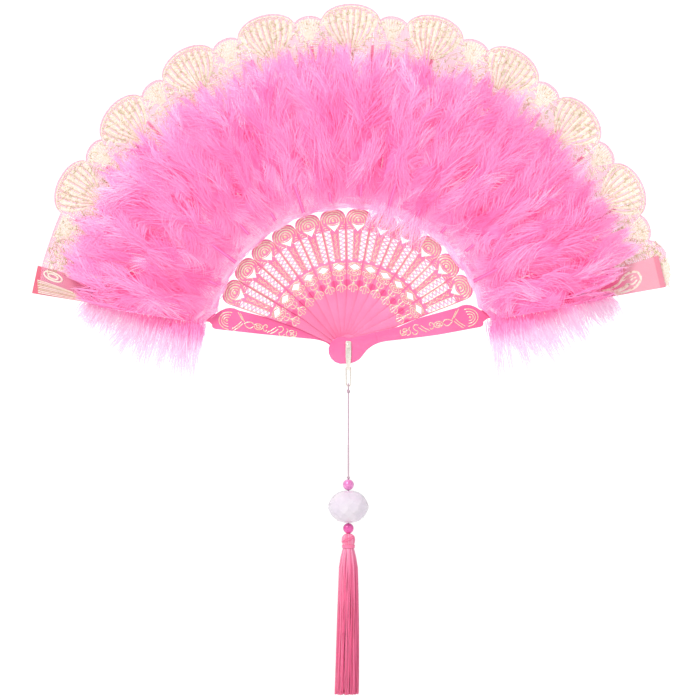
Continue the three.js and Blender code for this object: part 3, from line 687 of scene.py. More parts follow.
kite_middle, slot_start, slot_end = 53.6, 57.7, 78.7
foil_strokes = []
for points in (
    [(0, 42.9), (-1.0, 41.5), (-2.3, 40.9), (-3.2, 39.8), (-3.1, 38.5), (-2.3, 38.1), (-1.8, 38.8)],
    [(-0.2, 42.2), (-0.75, 40.0), (-0.95, 38.2), (-0.8, 36.9), (-0.25, 36.5)],
    [(-0.1, 44.4), (-1.3, 44.4), (-2.3, 45.3), (-2.6, 46.5), (-1.9, 47.2)],
    [(-3.2, 48.2), (-4.3, 49.2), (-4.5, 50.6), (-3.8, 51.4), (-3.2, 50.8)],
    [(-1.75, slot_start + 0.5), (-2.15, 66.5), (-2.75, slot_end - 1.4)],
    [(-5.25, slot_start + 0.8), (-6.25, 68.0), (-7.4, slot_end + 0.4)],
    [(-3.0, slot_end - 0.2), (-2.2, slot_end + 1.4), (-3.4, slot_end + 2.9), (-4.6, slot_end + 4.6)],
    [(-4.0, slot_end + 0.7), (-5.4, slot_end + 1.5), (-6.6, slot_end + 0.9)],
    [(-5.2, slot_end + 2.6), (-6.4, slot_end + 2.9), (-7.3, slot_end + 2.2)],
    [(-1.2, slot_start - 1.2), (-2.6, slot_start - 1.7), (-4.0, slot_start - 2.2), (-4.9, slot_start - 1.5)],
    [(-6.9, 82.2), (-7.9, 84.2), (-7.9, 86.6), (-6.9, 88.6)],
    [(-4.4, 83.9), (-2.6, 83.1), (0, 82.7)],
):
    foil_strokes.append((0.5, False, points))
    foil_strokes.append((0.5, False, [(-x, z) for x, z in points]))
half_kite = [(0, -2.75), (2.3, -1.65), (4.25, 0), (2.3, 1.65)]
kite = [(x, kite_middle + z) for x, z in half_kite + [(-x, -z) for x, z in half_kite]]
vine_foot, vine_wave = 59.2, 5.1
vine_heights = np.linspace(vine_foot, 76.4, 27)
vine = [(0.85 * math.sin((z - vine_foot) * 2 * math.pi / vine_wave), z) for z in vine_heights]
foil_strokes += [
    (0.6, False, [(0, 47.6), (0, 45.6), (0, 42.6)]),
    (0.6, True, arch((0, 49.6), 3.1, 1.9, 0, 330)),
    (0.5, True, arch((0, 49.6), 1.5, 0.75, 0, 330)),
    (0.5, True, kite),
    (0.5, False, vine),
]
for curl, curl_height in enumerate(np.arange(60.5, 76.2, vine_wave / 2)):
    curl_side, curl_end = (1, 360) if curl % 2 else (-1, -180)
    foil_strokes.append((0.36, False, arch((curl_side * 0.75, curl_height), 0.62, 0.75, 90, curl_end, 7)))
foil_dot = [(1.0, True, arch((0, 85.4), 0.55, 0.55, 0, 315, 8))]
foil_arches = [
    (0.75, False, arch((0, 85.1), 2.5, 2.4, -22, 202)),
    (1.0, False, arch((0, 85.0), 4.3, 4.1, -14, 194)),
    (0.8, False, arch((0, 85.0), 6.2, 5.8, -8, 188, 16)),
    (0.6, False, arch((0, 85.2), 7.7, 7.0, 12, 168, 16)),
]

bar_lines = []
for side in (-1, 1):
    zigzag = []
    for step, z in enumerate(np.linspace(slot_start + 0.4, slot_end - 0.2, 15)):
        near = 2.0 + 1.1 * ((z - slot_start) / (slot_end - slot_start))
        far = border_slope * z - 1.1
        zigzag.append((side * (near if step % 2 else far), z))
    for stroke in zip(zigzag, zigzag[1:]):
        bar_lines.append(moulded_line(stroke, 1.0, 0.0, 0.36, sunk=0.3, smooth=False))

stick_parts = [
    (upright_blank("stick_01", stick_plastic, 0.00016, 2, first_stick_angle, first_stick_depth), 0),
    (joined(*bar_lines), 2),
    (moulded_lines(foil_strokes, stick_face, 0.2), 1),
    (moulded_lines(foil_dot, stick_face, 0.3), 1),
    (moulded_lines(foil_arches, stick_face, 0.2), 1),
]
for index in range(12):
    number = f"{index + 1:02d}"
    pierced_stick = dressed_blade(
        "pierced_stick_" + number, stick_angle(index), stick_depth(index), "stick_map", stick_parts,
        stick_plastic, gold_foil, pale_plastic,
    )
    declared(pierced_stick, "stick_" + number, "stick_" + number)


# Guards: the two broad outer sticks, moulded in a deeper, glossier pink, with a round head, a
# waisted arm and a long blade. Their shoulders carry stamped gold lines, and the tips are paler.
def guard_plastic_for(name, tip_colour, strip_colour):
    plastic, shader = start_finish(
        name, (248, 104, 162), Roughness=0.27, Coat_Weight=0.5, Coat_Roughness=0.1,
        Subsurface_Weight=0.1, Subsurface_Scale=0.002,
    )
    guard_map = node(plastic, "UVMap", uv_map="guard_map")
    along = node(plastic, "SeparateXYZ", {0: guard_map.outputs["UV"]}).outputs["Y"]
    place = node(plastic, "TexCoord").outputs["Object"]
    cloud = noise(plastic, place, 26.0, Detail=3.0)
    pinks = ramp(plastic, cloud, (0.3, (242, 88, 150)), (0.7, (255, 118, 176)))
    tip = remapped(plastic, along, From_Min=184.0, From_Max=198.0)
    strip = remapped(plastic, along, From_Min=214.6, From_Max=215.0)
    with_tip = blended(plastic, tip, pinks, hue(*tip_colour))
    feed(shader, "Base Color", blended(plastic, strip, with_tip, hue(*strip_colour)))
    raise_grain(plastic, shader, noise(plastic, place, 500.0, Detail=3.0), 0.2, 0.0001)
    return plastic


shoulder_strokes = [(0.62, closed, points) for closed, points in (
    (True, arch((0.3, 84.6), 0.5, 0.5, 0, 315, 8)),
    (False, arch((0.3, 84.2), 2.2, 2.6, -20, 200)),
    (False, arch((0.3, 83.6), 4.0, 4.6, -12, 192)),
    (False, arch((0.3, 82.8), 5.9, 7.2, -6, 186, 16)),
    (False, [(0.2, 73.4), (2.9, 75.4), (6.6, 78.9)]),
    (False, [(-1.0, 74.6), (2.0, 76.6), (5.6, 80.2)]),
    (False, [(-1.6, 73.8), (-4.4, 76.3), (-6.9, 78.4)]),
    (False, [(-0.6, 72.2), (-3.6, 74.6), (-6.4, 76.6)]),
    (False, [(0.2, 72.6), (-1.4, 70.3), (-1.7, 67.6), (-0.4, 65.8)]),
    (False, [(0.4, 72.4), (2.1, 70.0), (2.3, 67.8), (0.6, 66.0)]),
    (True, arch((0.2, 62.6), 1.9, 2.9, 0, 330)),
    (True, arch((0.2, 62.6), 0.8, 1.5, 0, 330, 8)),
    (False, [(0.0, 59.4), (-1.7, 58.9), (-2.1, 57.3), (-0.9, 56.6), (-0.3, 57.6)]),
    (False, [(0.3, 59.2), (1.9, 58.6), (2.1, 57.1), (1.0, 56.5)]),
    (False, [(3.0, 56.2), (0.6, 53.2), (-2.0, 50.8)]),
    (False, [(3.4, 53.8), (1.2, 51.0), (-1.2, 48.9)]),
    (False, [
        (-2.4, 49.4), (-3.2, 47.2), (-1.8, 45.6), (0.2, 46.4), (1.6, 48.0), (3.1, 47.0), (3.0, 45.0),
        (1.2, 44.2),
    ]),
    (False, [(-2.6, 43.6), (-1.2, 42.3), (0.6, 43.2), (2.3, 42.2), (2.6, 40.4)]),
    (True, arch((-1.2, 39.7), 0.9, 1.5, 30, 330, 8)),
    (True, arch((1.1, 38.9), 0.8, 1.3, -150, 150, 8)),
    (False, [(-2.2, 37.0), (-0.4, 36.2), (1.4, 36.8), (2.2, 38.0)]),
)]
paisley_strokes = [
    (1.7, True, [
        (4.0, 174.3), (6.4, 179.0), (7.9, 184.6), (7.6, 193.0), (5.7, 199.6), (1.4, 203.3), (-2.9, 202.2),
        (-4.2, 198.6), (-2.9, 193.2), (1.6, 187.6), (3.6, 180.8),
    ]),
    (2.6, False, [(4.9, 178.5), (6.0, 184.5), (5.2, 190.0), (3.0, 194.6)]),
    (1.3, False, [(3.0, 193.4), (3.8, 197.4), (1.6, 200.8)]),
    (0.9, False, [(0.2, 190.8), (-0.6, 194.6), (-2.0, 199.2)]),
    (1.2, False, [(1.2, 196.2), (0.2, 198.0), (-0.2, 200.6)]),
    (0.9, False, [(1.4, 176.0), (-0.2, 180.6), (-1.0, 185.4)]),
    (0.7, False, [(-1.6, 177.6), (-2.6, 181.6), (-2.8, 185.0)]),
]
cream_print = mottled(
    "cream_print", (255, 240, 224), 420.0,
    [(0.36, (226, 160, 160)), (0.46, (248, 226, 210)), (0.7, (255, 246, 236))],
    {"Detail": 4.0}, Roughness=0.5,
)


def dressed_guard(name, cad_node, body, angle, side, face, plastic, printed):
    parts = [
        (upright_blank(cad_node, plastic, 0.00035, 3, angle, 0.0), 0),
        (moulded_lines(shoulder_strokes, face, 0.16, side), 1),
    ]
    if printed:
        parts.append((moulded_lines(paisley_strokes, face, 0.14, side), 2))
    guard = dressed_blade(name, angle, 0.0, "guard_map", parts, plastic, gold_foil, cream_print)
    declared(guard, cad_node, body)


rear_guard_angle, front_guard_angle = 168.1, 13.3
front_plastic = guard_plastic_for("front_guard_plastic", (244, 170, 188), (238, 142, 164))
rear_plastic = guard_plastic_for("rear_guard_plastic", (236, 118, 142), (232, 108, 132))
dressed_guard("front_blade", "guard_front", "front_guard", front_guard_angle, 1, -9.15, front_plastic, True)
dressed_guard("rear_blade", "guard_rear", "rear_guard", rear_guard_angle, -1, 7.35, rear_plastic, False)


# Leaf: one cloth of sheer pink net, pleated between the ribs and glued to them, with a scalloped
# hem. Cream satin stitch and thin gold cord draw a shell in each scallop and netting between them.
leaf_inner, leaf_valley = 99.0, 221.0
shell_rise, small_shell_rise = 11.6, 5.0
shell_step, middle_shell = 15.1, 89.6
small_shell_share, hem_drop_share, rear_hem = 0.32, 0.046, 216.0
rear_tip_half, front_tip_half = 9.65, 11.0
pleat_depth = 3.0


def hem_radius(angle):
    angle = np.asarray(angle, float)
    side = (angle - middle_shell) / 90
    cycle = (angle - middle_shell) / shell_step
    offset = cycle - np.round(cycle)
    large = np.sqrt(np.maximum(0, 1 - (offset / ((1 - small_shell_share) / 2)) ** 2))
    small = np.sqrt(np.maximum(0, 1 - ((0.5 - np.abs(offset)) / (small_shell_share / 2)) ** 2))
    rise = np.maximum(shell_rise * large, small_shell_rise * small)
    edge = (leaf_valley + rise) * (1 - hem_drop_share * side ** 2)
    return np.where(angle > first_stick_angle, np.minimum(edge, rear_hem), edge)


def leaf_side(angle, y, end, pleat):
    """How far from a rib's line the cloth ends and its pleat begins, at the leaf's inner and outer edge"""
    return {"angle": angle, "y": y, "end": end, "pleat": pleat}


leaf_sides = [leaf_side(rear_guard_angle, 6.8, (-2.9, -rear_tip_half + 1), (3.4, rear_tip_half + 1))]
for index in range(12):
    leaf_sides.append(leaf_side(stick_angle(index), stick_depth(index) - 1.0, (0.15, 0.15), (1.8, 1.8)))
leaf_sides.append(leaf_side(front_guard_angle, -6.8, (-2.9, -front_tip_half + 1), (3.4, front_tip_half + 1)))


def beside(side, offset, radius, way):
    return side["angle"] - way * np.degrees(np.arcsin(np.asarray(offset) / radius))


def pleat_limits(panel, radius):
    left, right = leaf_sides[panel], leaf_sides[panel + 1]
    share = (np.asarray(radius) - leaf_inner) / (leaf_valley - leaf_inner)
    offsets = [a["pleat"][0] + (a["pleat"][1] - a["pleat"][0]) * share for a in (left, right)]
    return beside(left, offsets[0], radius, 1), beside(right, offsets[1], radius, -1)


def on_cloth(panel, angle, radius, lift=0.0):
    """Points on the pleated cloth, or raised off it by a lift"""
    left, right = leaf_sides[panel], leaf_sides[panel + 1]
    start, stop = pleat_limits(panel, radius)
    share = np.clip((start - angle) / (start - stop), 0, 1)
    fold = pleat_depth * (1 - np.abs(2 * share - 1)) ** 0.85
    depth = left["y"] + (right["y"] - left["y"]) * share + fold
    turn = np.radians(angle)
    return np.stack([radius * np.cos(turn), depth - lift, radius * np.sin(turn)], axis=-1)


def panel_of(angle):
    for panel in range(13):
        if angle >= leaf_sides[panel + 1]["angle"]:
            return panel
    return 12


def in_polar(flat):
    return np.degrees(np.arctan2(flat[:, 1], flat[:, 0])), np.hypot(flat[:, 0], flat[:, 1])


net_cell, net_thread, net_row_thread = 0.7, 0.16, 0.1
pink_net, net_shader = start_finish("pink_net", (250, 150, 190), Roughness=0.7, Sheen_Weight=0.3)
net_map = node(pink_net, "UVMap", uv_map="cloth_map").outputs["UV"]
net_x, net_y, _ = node(pink_net, "SeparateXYZ", {0: net_map}).outputs
net_slants = []
for slope in (1.0, -1.0):
    slant = maths(pink_net, "MULTIPLY_ADD", net_x, slope, net_y)
    cell = maths(pink_net, "PINGPONG", slant, net_cell)
    net_slants.append(maths(pink_net, "LESS_THAN", cell, net_thread))
net_rows = maths(pink_net, "LESS_THAN", maths(pink_net, "PINGPONG", net_y, net_cell), net_row_thread)
net_threads = maths(pink_net, "MAXIMUM", maths(pink_net, "MAXIMUM", *net_slants), net_rows)
feed(net_shader, "Alpha", remapped(pink_net, net_threads, To_Min=0.36, To_Max=0.95))
net_cloud = noise(pink_net, net_map, 0.06, Detail=3.0)
feed(net_shader, "Base Color", ramp(pink_net, net_cloud, (0.3, (246, 150, 184)), (0.7, (251, 182, 206))))
cream_satin = mottled(
    "cream_satin", (255, 240, 224), 900.0,
    [(0.3, (242, 218, 196)), (0.5, (255, 239, 222)), (0.75, (255, 250, 242))],
    {"Detail": 3.0}, bump=(0.5, 0.0002), Roughness=0.45, Sheen_Weight=0.5, Sheen_Roughness=0.3,
)
gold_cord = mottled(
    "gold_cord", (208, 190, 146), 1500.0, [(0.35, (212, 190, 148)), (0.65, (244, 228, 192))],
    Roughness=0.45, Metallic=0.2,
)
hem_satin = mottled(
    "hem_satin", (250, 196, 214), 1100.0, [(0.3, (238, 176, 200)), (0.7, (255, 214, 226))],
    Roughness=0.5, Sheen_Weight=0.4,
)
stitch_finishes = (cream_satin, gold_cord, hem_satin)
cream, gold, hem = range(3)
stitches = [[] for panel in range(13)]


def stitch(angles, radii, width, finish, lift=0.32):
    """One raised stitch along a route of angles and radii, kept with the panel that it lies on"""
    angles, radii = np.asarray(angles, float), np.asarray(radii, float)
    flat = np.stack([radii * np.cos(np.radians(angles)), radii * np.sin(np.radians(angles))], axis=1)
    along = headings(flat)
    across = np.stack([along[:, 1], -along[:, 0]], axis=1)
    width = np.broadcast_to(width, len(flat))[:, None]
    rows = []
    for side, height in ((-0.5, 0.05), (0.0, lift), (0.5, 0.05)):
        places = zip(*in_polar(flat + across * width * side))
        rows.append([on_cloth(panel_of(angle), angle, radius, height) for angle, radius in places])
    points = np.stack(rows, axis=1).reshape(-1, 3)
    stitches[panel_of(angles[len(angles) // 2])].append((points, quads(len(flat), 3), finish))


def sewn_near(angle, offsets, radii, width, finish):
    """A stitch given by its distance in millimetres from the line at an angle"""
    stitch(angle + np.degrees(offsets / radii), radii, width, finish)


def hem_line(line_angles, inset, finish, lift):
    """A line of short stitches that follows the hem"""
    for start in range(0, len(line_angles) - 1, 4):
        angles = line_angles[start:start + 5]
        stitch(angles, hem_radius(angles) - inset, 0.9, finish, lift)


# Shells: nine fans of cream strands with gold cord between them, each with gold eyelets at its
# tips, a cream arc just inside the hem and a pair of scrolls at its foot.
shell_height, strand_step, scroll_reach = 34.0, 1.12, 5.4
for shell in range(-4, 5):
    shell_angle = middle_shell + shell_step * shell
    heart = float(hem_radius(shell_angle)) - shell_height
    for strand in range(-4, 5):
        tip_angle = shell_angle + strand * strand_step
        tip = float(hem_radius(tip_angle)) - 3.6
        foot = heart + 4.0 + 0.18 * abs(strand)
        share = np.linspace(0, 1, 9)
        angles = shell_angle + strand * (0.34 + 0.78 * share + 0.2 * np.sin(np.pi * share))
        radii = foot + (tip - foot) * share
        wide = 0.7 + 2.3 * share ** 1.1
        wide[-1] *= 0.6
        stitch(angles, radii, wide, cream)
        if strand < 4:
            stitch(angles + 0.17 + 0.39 * share, radii - 0.6, 0.5, gold, lift=0.3)
            stitch(angles + 0.17 + 0.39 * share, radii[-1] + 1.2 - 5 * (1 - share), 0.5, gold, lift=0.34)
        eyelet = np.linspace(0, 2 * np.pi, 11)
        eyelet_angles = tip_angle + np.degrees(1.1 * np.cos(eyelet) / tip)
        stitch(eyelet_angles, tip + 0.9 + 1.1 * np.sin(eyelet), 0.4, gold, lift=0.4)
    hem_line(shell_angle + np.linspace(-5.2, 5.2, 29), 1.9, cream, 0.36)
    for scroll_side in (-1, 1):
        share = np.linspace(0, 1, 12)
        sweep = share * 1.65 * np.pi
        scroll_radius = scroll_reach * (1 - 0.62 * share)
        scroll_x = scroll_side * (5.8 - scroll_radius * np.cos(sweep))
        scroll_z = heart + 1.5 - scroll_radius * np.sin(sweep)
        stitch(shell_angle + np.degrees(scroll_x / heart), scroll_z, 1.25 - 0.5 * share, cream)
        beside_scroll = shell_angle + np.degrees((scroll_x + scroll_side * 0.9) / heart)
        stitch(beside_scroll, scroll_z - 0.8, 0.4, gold, lift=0.2)

# Small shells in the valleys of the hem: nine short cream strands over six crossing rows, cream
# and gold by turns.
small_height, small_strand_step, row_drop = 15, 0.5, 3.0
for valley in range(-4, 6):
    valley_angle = middle_shell + shell_step * (valley - 0.5)
    for strand in range(-4, 5):
        tip_angle = valley_angle + strand * small_strand_step
        tip = float(hem_radius(tip_angle)) - 2.0
        angles = valley_angle + (tip_angle - valley_angle) * np.linspace(0.25, 1, 6)
        radii = np.linspace(tip - small_height + 0.5 * abs(strand), tip, 6)
        stitch(angles, radii, np.linspace(0.5, 1.5, 6), cream)
    for row in range(6):
        row_angles = valley_angle + np.linspace(-2.3 + 0.25 * row, 2.3 - 0.25 * row, 7)
        row_radii = hem_radius(valley_angle) - 17.5 - row_drop * row + 1.1 * np.cos(np.linspace(-2, 2, 7))
        stitch(row_angles, row_radii, 0.5, (cream, gold)[row % 2], lift=0.2)

# Netting: short wandering stitches all over the outer part of the leaf, cream, and gold mostly in
# the shells. They leave the ribs bare, and more of them fill the hem's two ends, up to its edge.
meander_random = np.random.default_rng(5)
meander_foot, whole_leaf, tip_foot = 186.0, 3600, 218.9
bare_rib_half, bare_rib_end = 0.5, 207
meander_zones = [(13.6, 166.0, meander_foot)] * whole_leaf
meander_zones += [(11.2, 14.6, tip_foot)] * 130 + [(14.6, 21.5, 203.0)] * 110 + [(156.6, 166.2, 193.0)] * 170
for squiggle, (zone_start, zone_end, zone_foot) in enumerate(meander_zones):
    angle = meander_random.uniform(zone_start, zone_end)
    away = (angle - middle_shell) / shell_step
    in_shell = abs(away - round(away)) < 0.33
    highest = float(hem_radius(angle)) - (5.0 if in_shell else 3.6)
    depth_share = meander_random.uniform(0, 1) ** (1.0 if in_shell else 1.4)
    radius = highest - (highest - meander_foot) * depth_share
    heading, bend = meander_random.uniform(0, 2 * np.pi), meander_random.normal(0, 2.6)
    turning = heading + bend * np.linspace(0, 1, 6)
    size = meander_random.uniform(2.4, 4.6)
    step_x = np.cumsum(np.cos(turning)) * size / 6
    step_z = np.cumsum(np.sin(turning)) * size / 6
    angles = angle + np.degrees(step_x / radius)
    if squiggle >= whole_leaf:
        highest = float(hem_radius(angle)) - 0.9
        radius = meander_random.uniform(min(zone_foot, highest - 0.5), highest)
    ribs_away = (angles - first_stick_angle) / stick_step
    near_rib = np.abs(ribs_away - np.round(ribs_away)).min() * stick_step
    if near_rib < bare_rib_half and radius < bare_rib_end:
        continue
    tan = meander_random.uniform() < (0.75 if in_shell else 0.3) and zone_foot != tip_foot
    width, finish, lift = (0.36, gold, 0.5) if tan else (0.8, cream, 0.24)
    stitch(angles, np.minimum(radius + step_z, highest), width, finish, lift)

# Hem and rear tip: pink satin stitch along the scalloped edge, and at the rear guard a palm leaf
# of eight strands with a double loop.
hem_line(np.linspace(16.4, 165.4, 597), 0.5, hem, 0.3)
palm_tip, loop_middle_radius = 214.6, 206.8
for palm in range(8):
    share = np.linspace(0, 1, 8)
    palm_foot = 8.2 - 1.15 * palm
    out = palm_foot + (7.4 - 0.6 * palm - palm_foot) * share ** 1.3
    along = palm_tip - (36 - 1.5 * palm) * share + 0.3 * palm
    sewn_near(rear_guard_angle, out, along, 0.7 - 0.25 * share, gold if palm % 3 == 2 else cream)
for loop_scale in (1.0, 0.55):
    sweep = np.linspace(0, 2 * np.pi, 22)
    along = loop_middle_radius + 6.6 * loop_scale * np.cos(sweep)
    out = -4.4 + 2.7 * loop_scale * np.sin(sweep) - 0.18 * (along - loop_middle_radius)
    sewn_near(rear_guard_angle, out, along, 1.0, cream)


# Panels: the cloth and its embroidery between each two ribs, glued to both.
# At the two guards the cloth runs on a little past the glued edge.
fine_share = np.linspace(0, 1, 29)
radial_share = np.linspace(0, 1, 25)[:, None]
fold_radius, fold_width, guard_fold_width = 0.16, 0.02, 0.018


def edge_angles(panel, share):
    """Angles of the cloth's inner and outer edge at a share of the panel's width"""
    left, right = leaf_sides[panel], leaf_sides[panel + 1]
    angles = []
    for end, radius in ((0, leaf_inner), (1, leaf_valley)):
        start = float(beside(left, left["pleat"][end], radius, 1))
        stop = float(beside(right, right["pleat"][end], radius, -1))
        if share < 0:
            start = stop = float(beside(left, left["end"][end], radius, 1))
        elif share > 1:
            start = stop = float(beside(right, right["end"][end], radius, -1))
        angles.append(math.radians(start + (stop - start) * share))
    return angles


for panel in range(13):
    number = f"{panel + 1:02d}"
    columns = []
    for share in [-1.0, *fine_share, 2.0]:
        inner_angle, outer_angle = edge_angles(panel, share)
        inner = np.array([math.cos(inner_angle), math.sin(inner_angle)]) * leaf_inner
        rim = float(hem_radius(math.degrees(outer_angle)))
        outer = np.array([math.cos(outer_angle), math.sin(outer_angle)]) * rim
        columns.append(on_cloth(panel, *in_polar(inner + (outer - inner) * radial_share)))
    cloth_points = np.vstack(columns)
    cloth_faces = quads(len(columns), len(radial_share), turned=True)
    lace_panel = new_piece("lace_panel_" + number, cloth_points, cloth_faces, pink_net)
    turns = np.arctan2(cloth_points[:, 2], cloth_points[:, 0])
    radii = np.hypot(cloth_points[:, 0], cloth_points[:, 2])
    map_points(lace_panel, "cloth_map", np.stack([(turns - np.pi / 2) * 160, radii], axis=1))

    sewn = joined(*[(points, faces) for points, faces, _ in stitches[panel]])
    embroidery = new_piece("embroidery_" + number, *sewn, *stitch_finishes)
    finish_numbers = [finish for _, faces, finish in stitches[panel] for face in faces]
    embroidery.data.polygons.foreach_set("material_index", finish_numbers)

    rib = panel + 1 if panel < 12 else panel
    rib_turn = math.radians(leaf_sides[rib]["angle"])
    away = np.array([-math.sin(rib_turn), 0, math.cos(rib_turn)])
    away = (guard_fold_width if panel in (0, 12) else fold_width) * away
    for piece in (lace_panel, embroidery):
        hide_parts("leaf_" + number)
        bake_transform(piece)


# Feathers: hot-pink dyed marabou, glued on in a tuft for each stick and guard. A tuft is a packed
# cushion of down under long soft barbs, and the guards' tufts hang out thinly over the outer edges.
feather_start, feather_end, feather_depth, feather_heart = 98.0, 202.0, 28.0, 140.0
places_along = np.array([0, 0.02, 0.12, 0.31, 0.5, 0.71, 0.88, 0.98, 1])
depth_places = feather_start + (feather_end - feather_start) * places_along
depth_shares = [0, 0.3, 0.62, 0.9, 1, 0.9, 0.55, 0.15, 0]
tuft_half, pad_half, heart_spread, pad_foot, pad_tip = 5.82, 5.7, 46, 3, 22
barb_width, edge_barb_width, stray_barb_width = 0.42, 0.28, 0.26
down_tone, barb_tone, edge_barb_tone, stray_barb_tone = 0.34, 0.42, 0.4, 0.62
# The down glows faintly in its own pinks: painted light that lifts the shade deep inside the fluff.
marabou, marabou_shader = start_finish("marabou", (255, 150, 212), Roughness=0.85, Emission_Strength=0.16)
# The ramp's last stop is greyer than the one before it: painted shade on the palest, farthest wisps.
marabou_pinks = ramp(
    marabou, node(marabou, "Attribute", attribute_name="tone").outputs["Fac"],
    (0.0, (244, 98, 170)), (0.35, (252, 132, 195)), (0.62, (255, 164, 214)), (0.82, (253, 212, 237)),
    (1.0, (240, 212, 234)),
)
feed(marabou_shader, "Base Color", marabou_pinks)
feed(marabou_shader, "Emission Color", marabou_pinks)
feather_random = np.random.default_rng(23)
barb_share = np.linspace(0, 1, 5)


def scatter(width, *shape):
    return feather_random.normal(0, width, shape)


def streamed(reach, steps):
    """How far barbs have run at each of their five points"""
    return reach * np.cumsum(steps, axis=-1) / 5


def puff(places, around, height, limit):
    """Depth and outward slope of the fluff at a distance from the rivet and an angle from the tuft's axis"""
    rounding = 1 - 0.16 * (around / limit) ** 2
    shares = np.interp(places, depth_places, depth_shares)
    ahead, behind = (np.interp(places + step, depth_places, depth_shares) for step in (1.5, -1.5))
    return feather_depth * height * shares * rounding, feather_depth * height * ((ahead - behind) / 3)


def tip_clearance(x, guard_side):
    """How far the fluff stops short of a guard's tip, more and more towards the guard's outer edge"""
    if not guard_side:
        return 0.0
    clearances = [-5, 10, 30] if guard_side < 0 else [-5, 20, 34]
    return np.interp(x * guard_side, [-19, -7, 9], clearances)


def foot_clearance(x, guard_side):
    """How much later the fluff begins at a guard's outer edge, where the blade's neck stays bare"""
    return 6 * np.clip((x * guard_side + 4) / 7, 0, 1) if guard_side else 0.0


def down_pad(inside, outside, height, guard_side=0):
    """The cushion of down under the barbs, domed to nothing at all its edges, with a flat back"""
    across = np.linspace(-1, 1, 19)[:, None]
    along = np.linspace(0, 1, 45)[None, :]
    turns = np.radians((inside + outside) / 2 + (outside - inside) / 2 * across)
    first = feather_start + pad_foot + foot_clearance(np.sin(turns) * 100, guard_side)
    last = feather_end - pad_tip - tip_clearance(np.sin(turns) * 180, guard_side)
    places = first + (last - first) * along
    depths, _ = puff(places, np.degrees(turns), height, tuft_half)
    dome = np.sqrt(1 - across ** 8) * np.sqrt(1 - (2 * along - 1) ** 10)
    depths = (depths + scatter(0.25, *depths.shape)) * dome
    front = np.stack([np.sin(turns) * places, -depths, np.cos(turns) * places], axis=-1)
    cells = np.array(quads(*front.shape[:2], turned=True))
    normals = unit(np.cross(np.gradient(front, axis=0), np.gradient(front, axis=1))).reshape(-1, 3)
    points = np.vstack([front.reshape(-1, 3), (front * (1, 0, 1)).reshape(-1, 3)])
    tones = down_tone + scatter(0.05, len(points))
    normals = np.vstack([normals, np.tile((0.0, 1.0, 0.0), (len(normals), 1))])
    return points, np.vstack([cells, cells[:, ::-1] + len(points) // 2]), normals, tones


def barb_ribbons(lines, widths, normals, tones):
    """Tapering ribbons along rows of five points, lying in the fluff's own surface"""
    sideways = unit(np.cross(np.gradient(lines, axis=1), normals), 1e-9)
    points = np.stack([lines - sideways * widths / 2, lines + sideways * widths / 2], axis=2)
    normals, tones = np.repeat(normals, 2, axis=1), np.repeat(tones, 2, axis=1)
    return points.reshape(-1, 3), quads(len(lines), 5, 2), normals.reshape(-1, 3), tones.ravel()


def limited(values, low, high, margin):
    """Keeps fluff in its band: what would stray past a limit is pressed back softly"""
    over = np.maximum(values - high, 0)
    under = np.maximum(low - values, 0)
    return values - over + margin * np.tanh(over / margin) + under - margin * np.tanh(under / margin)


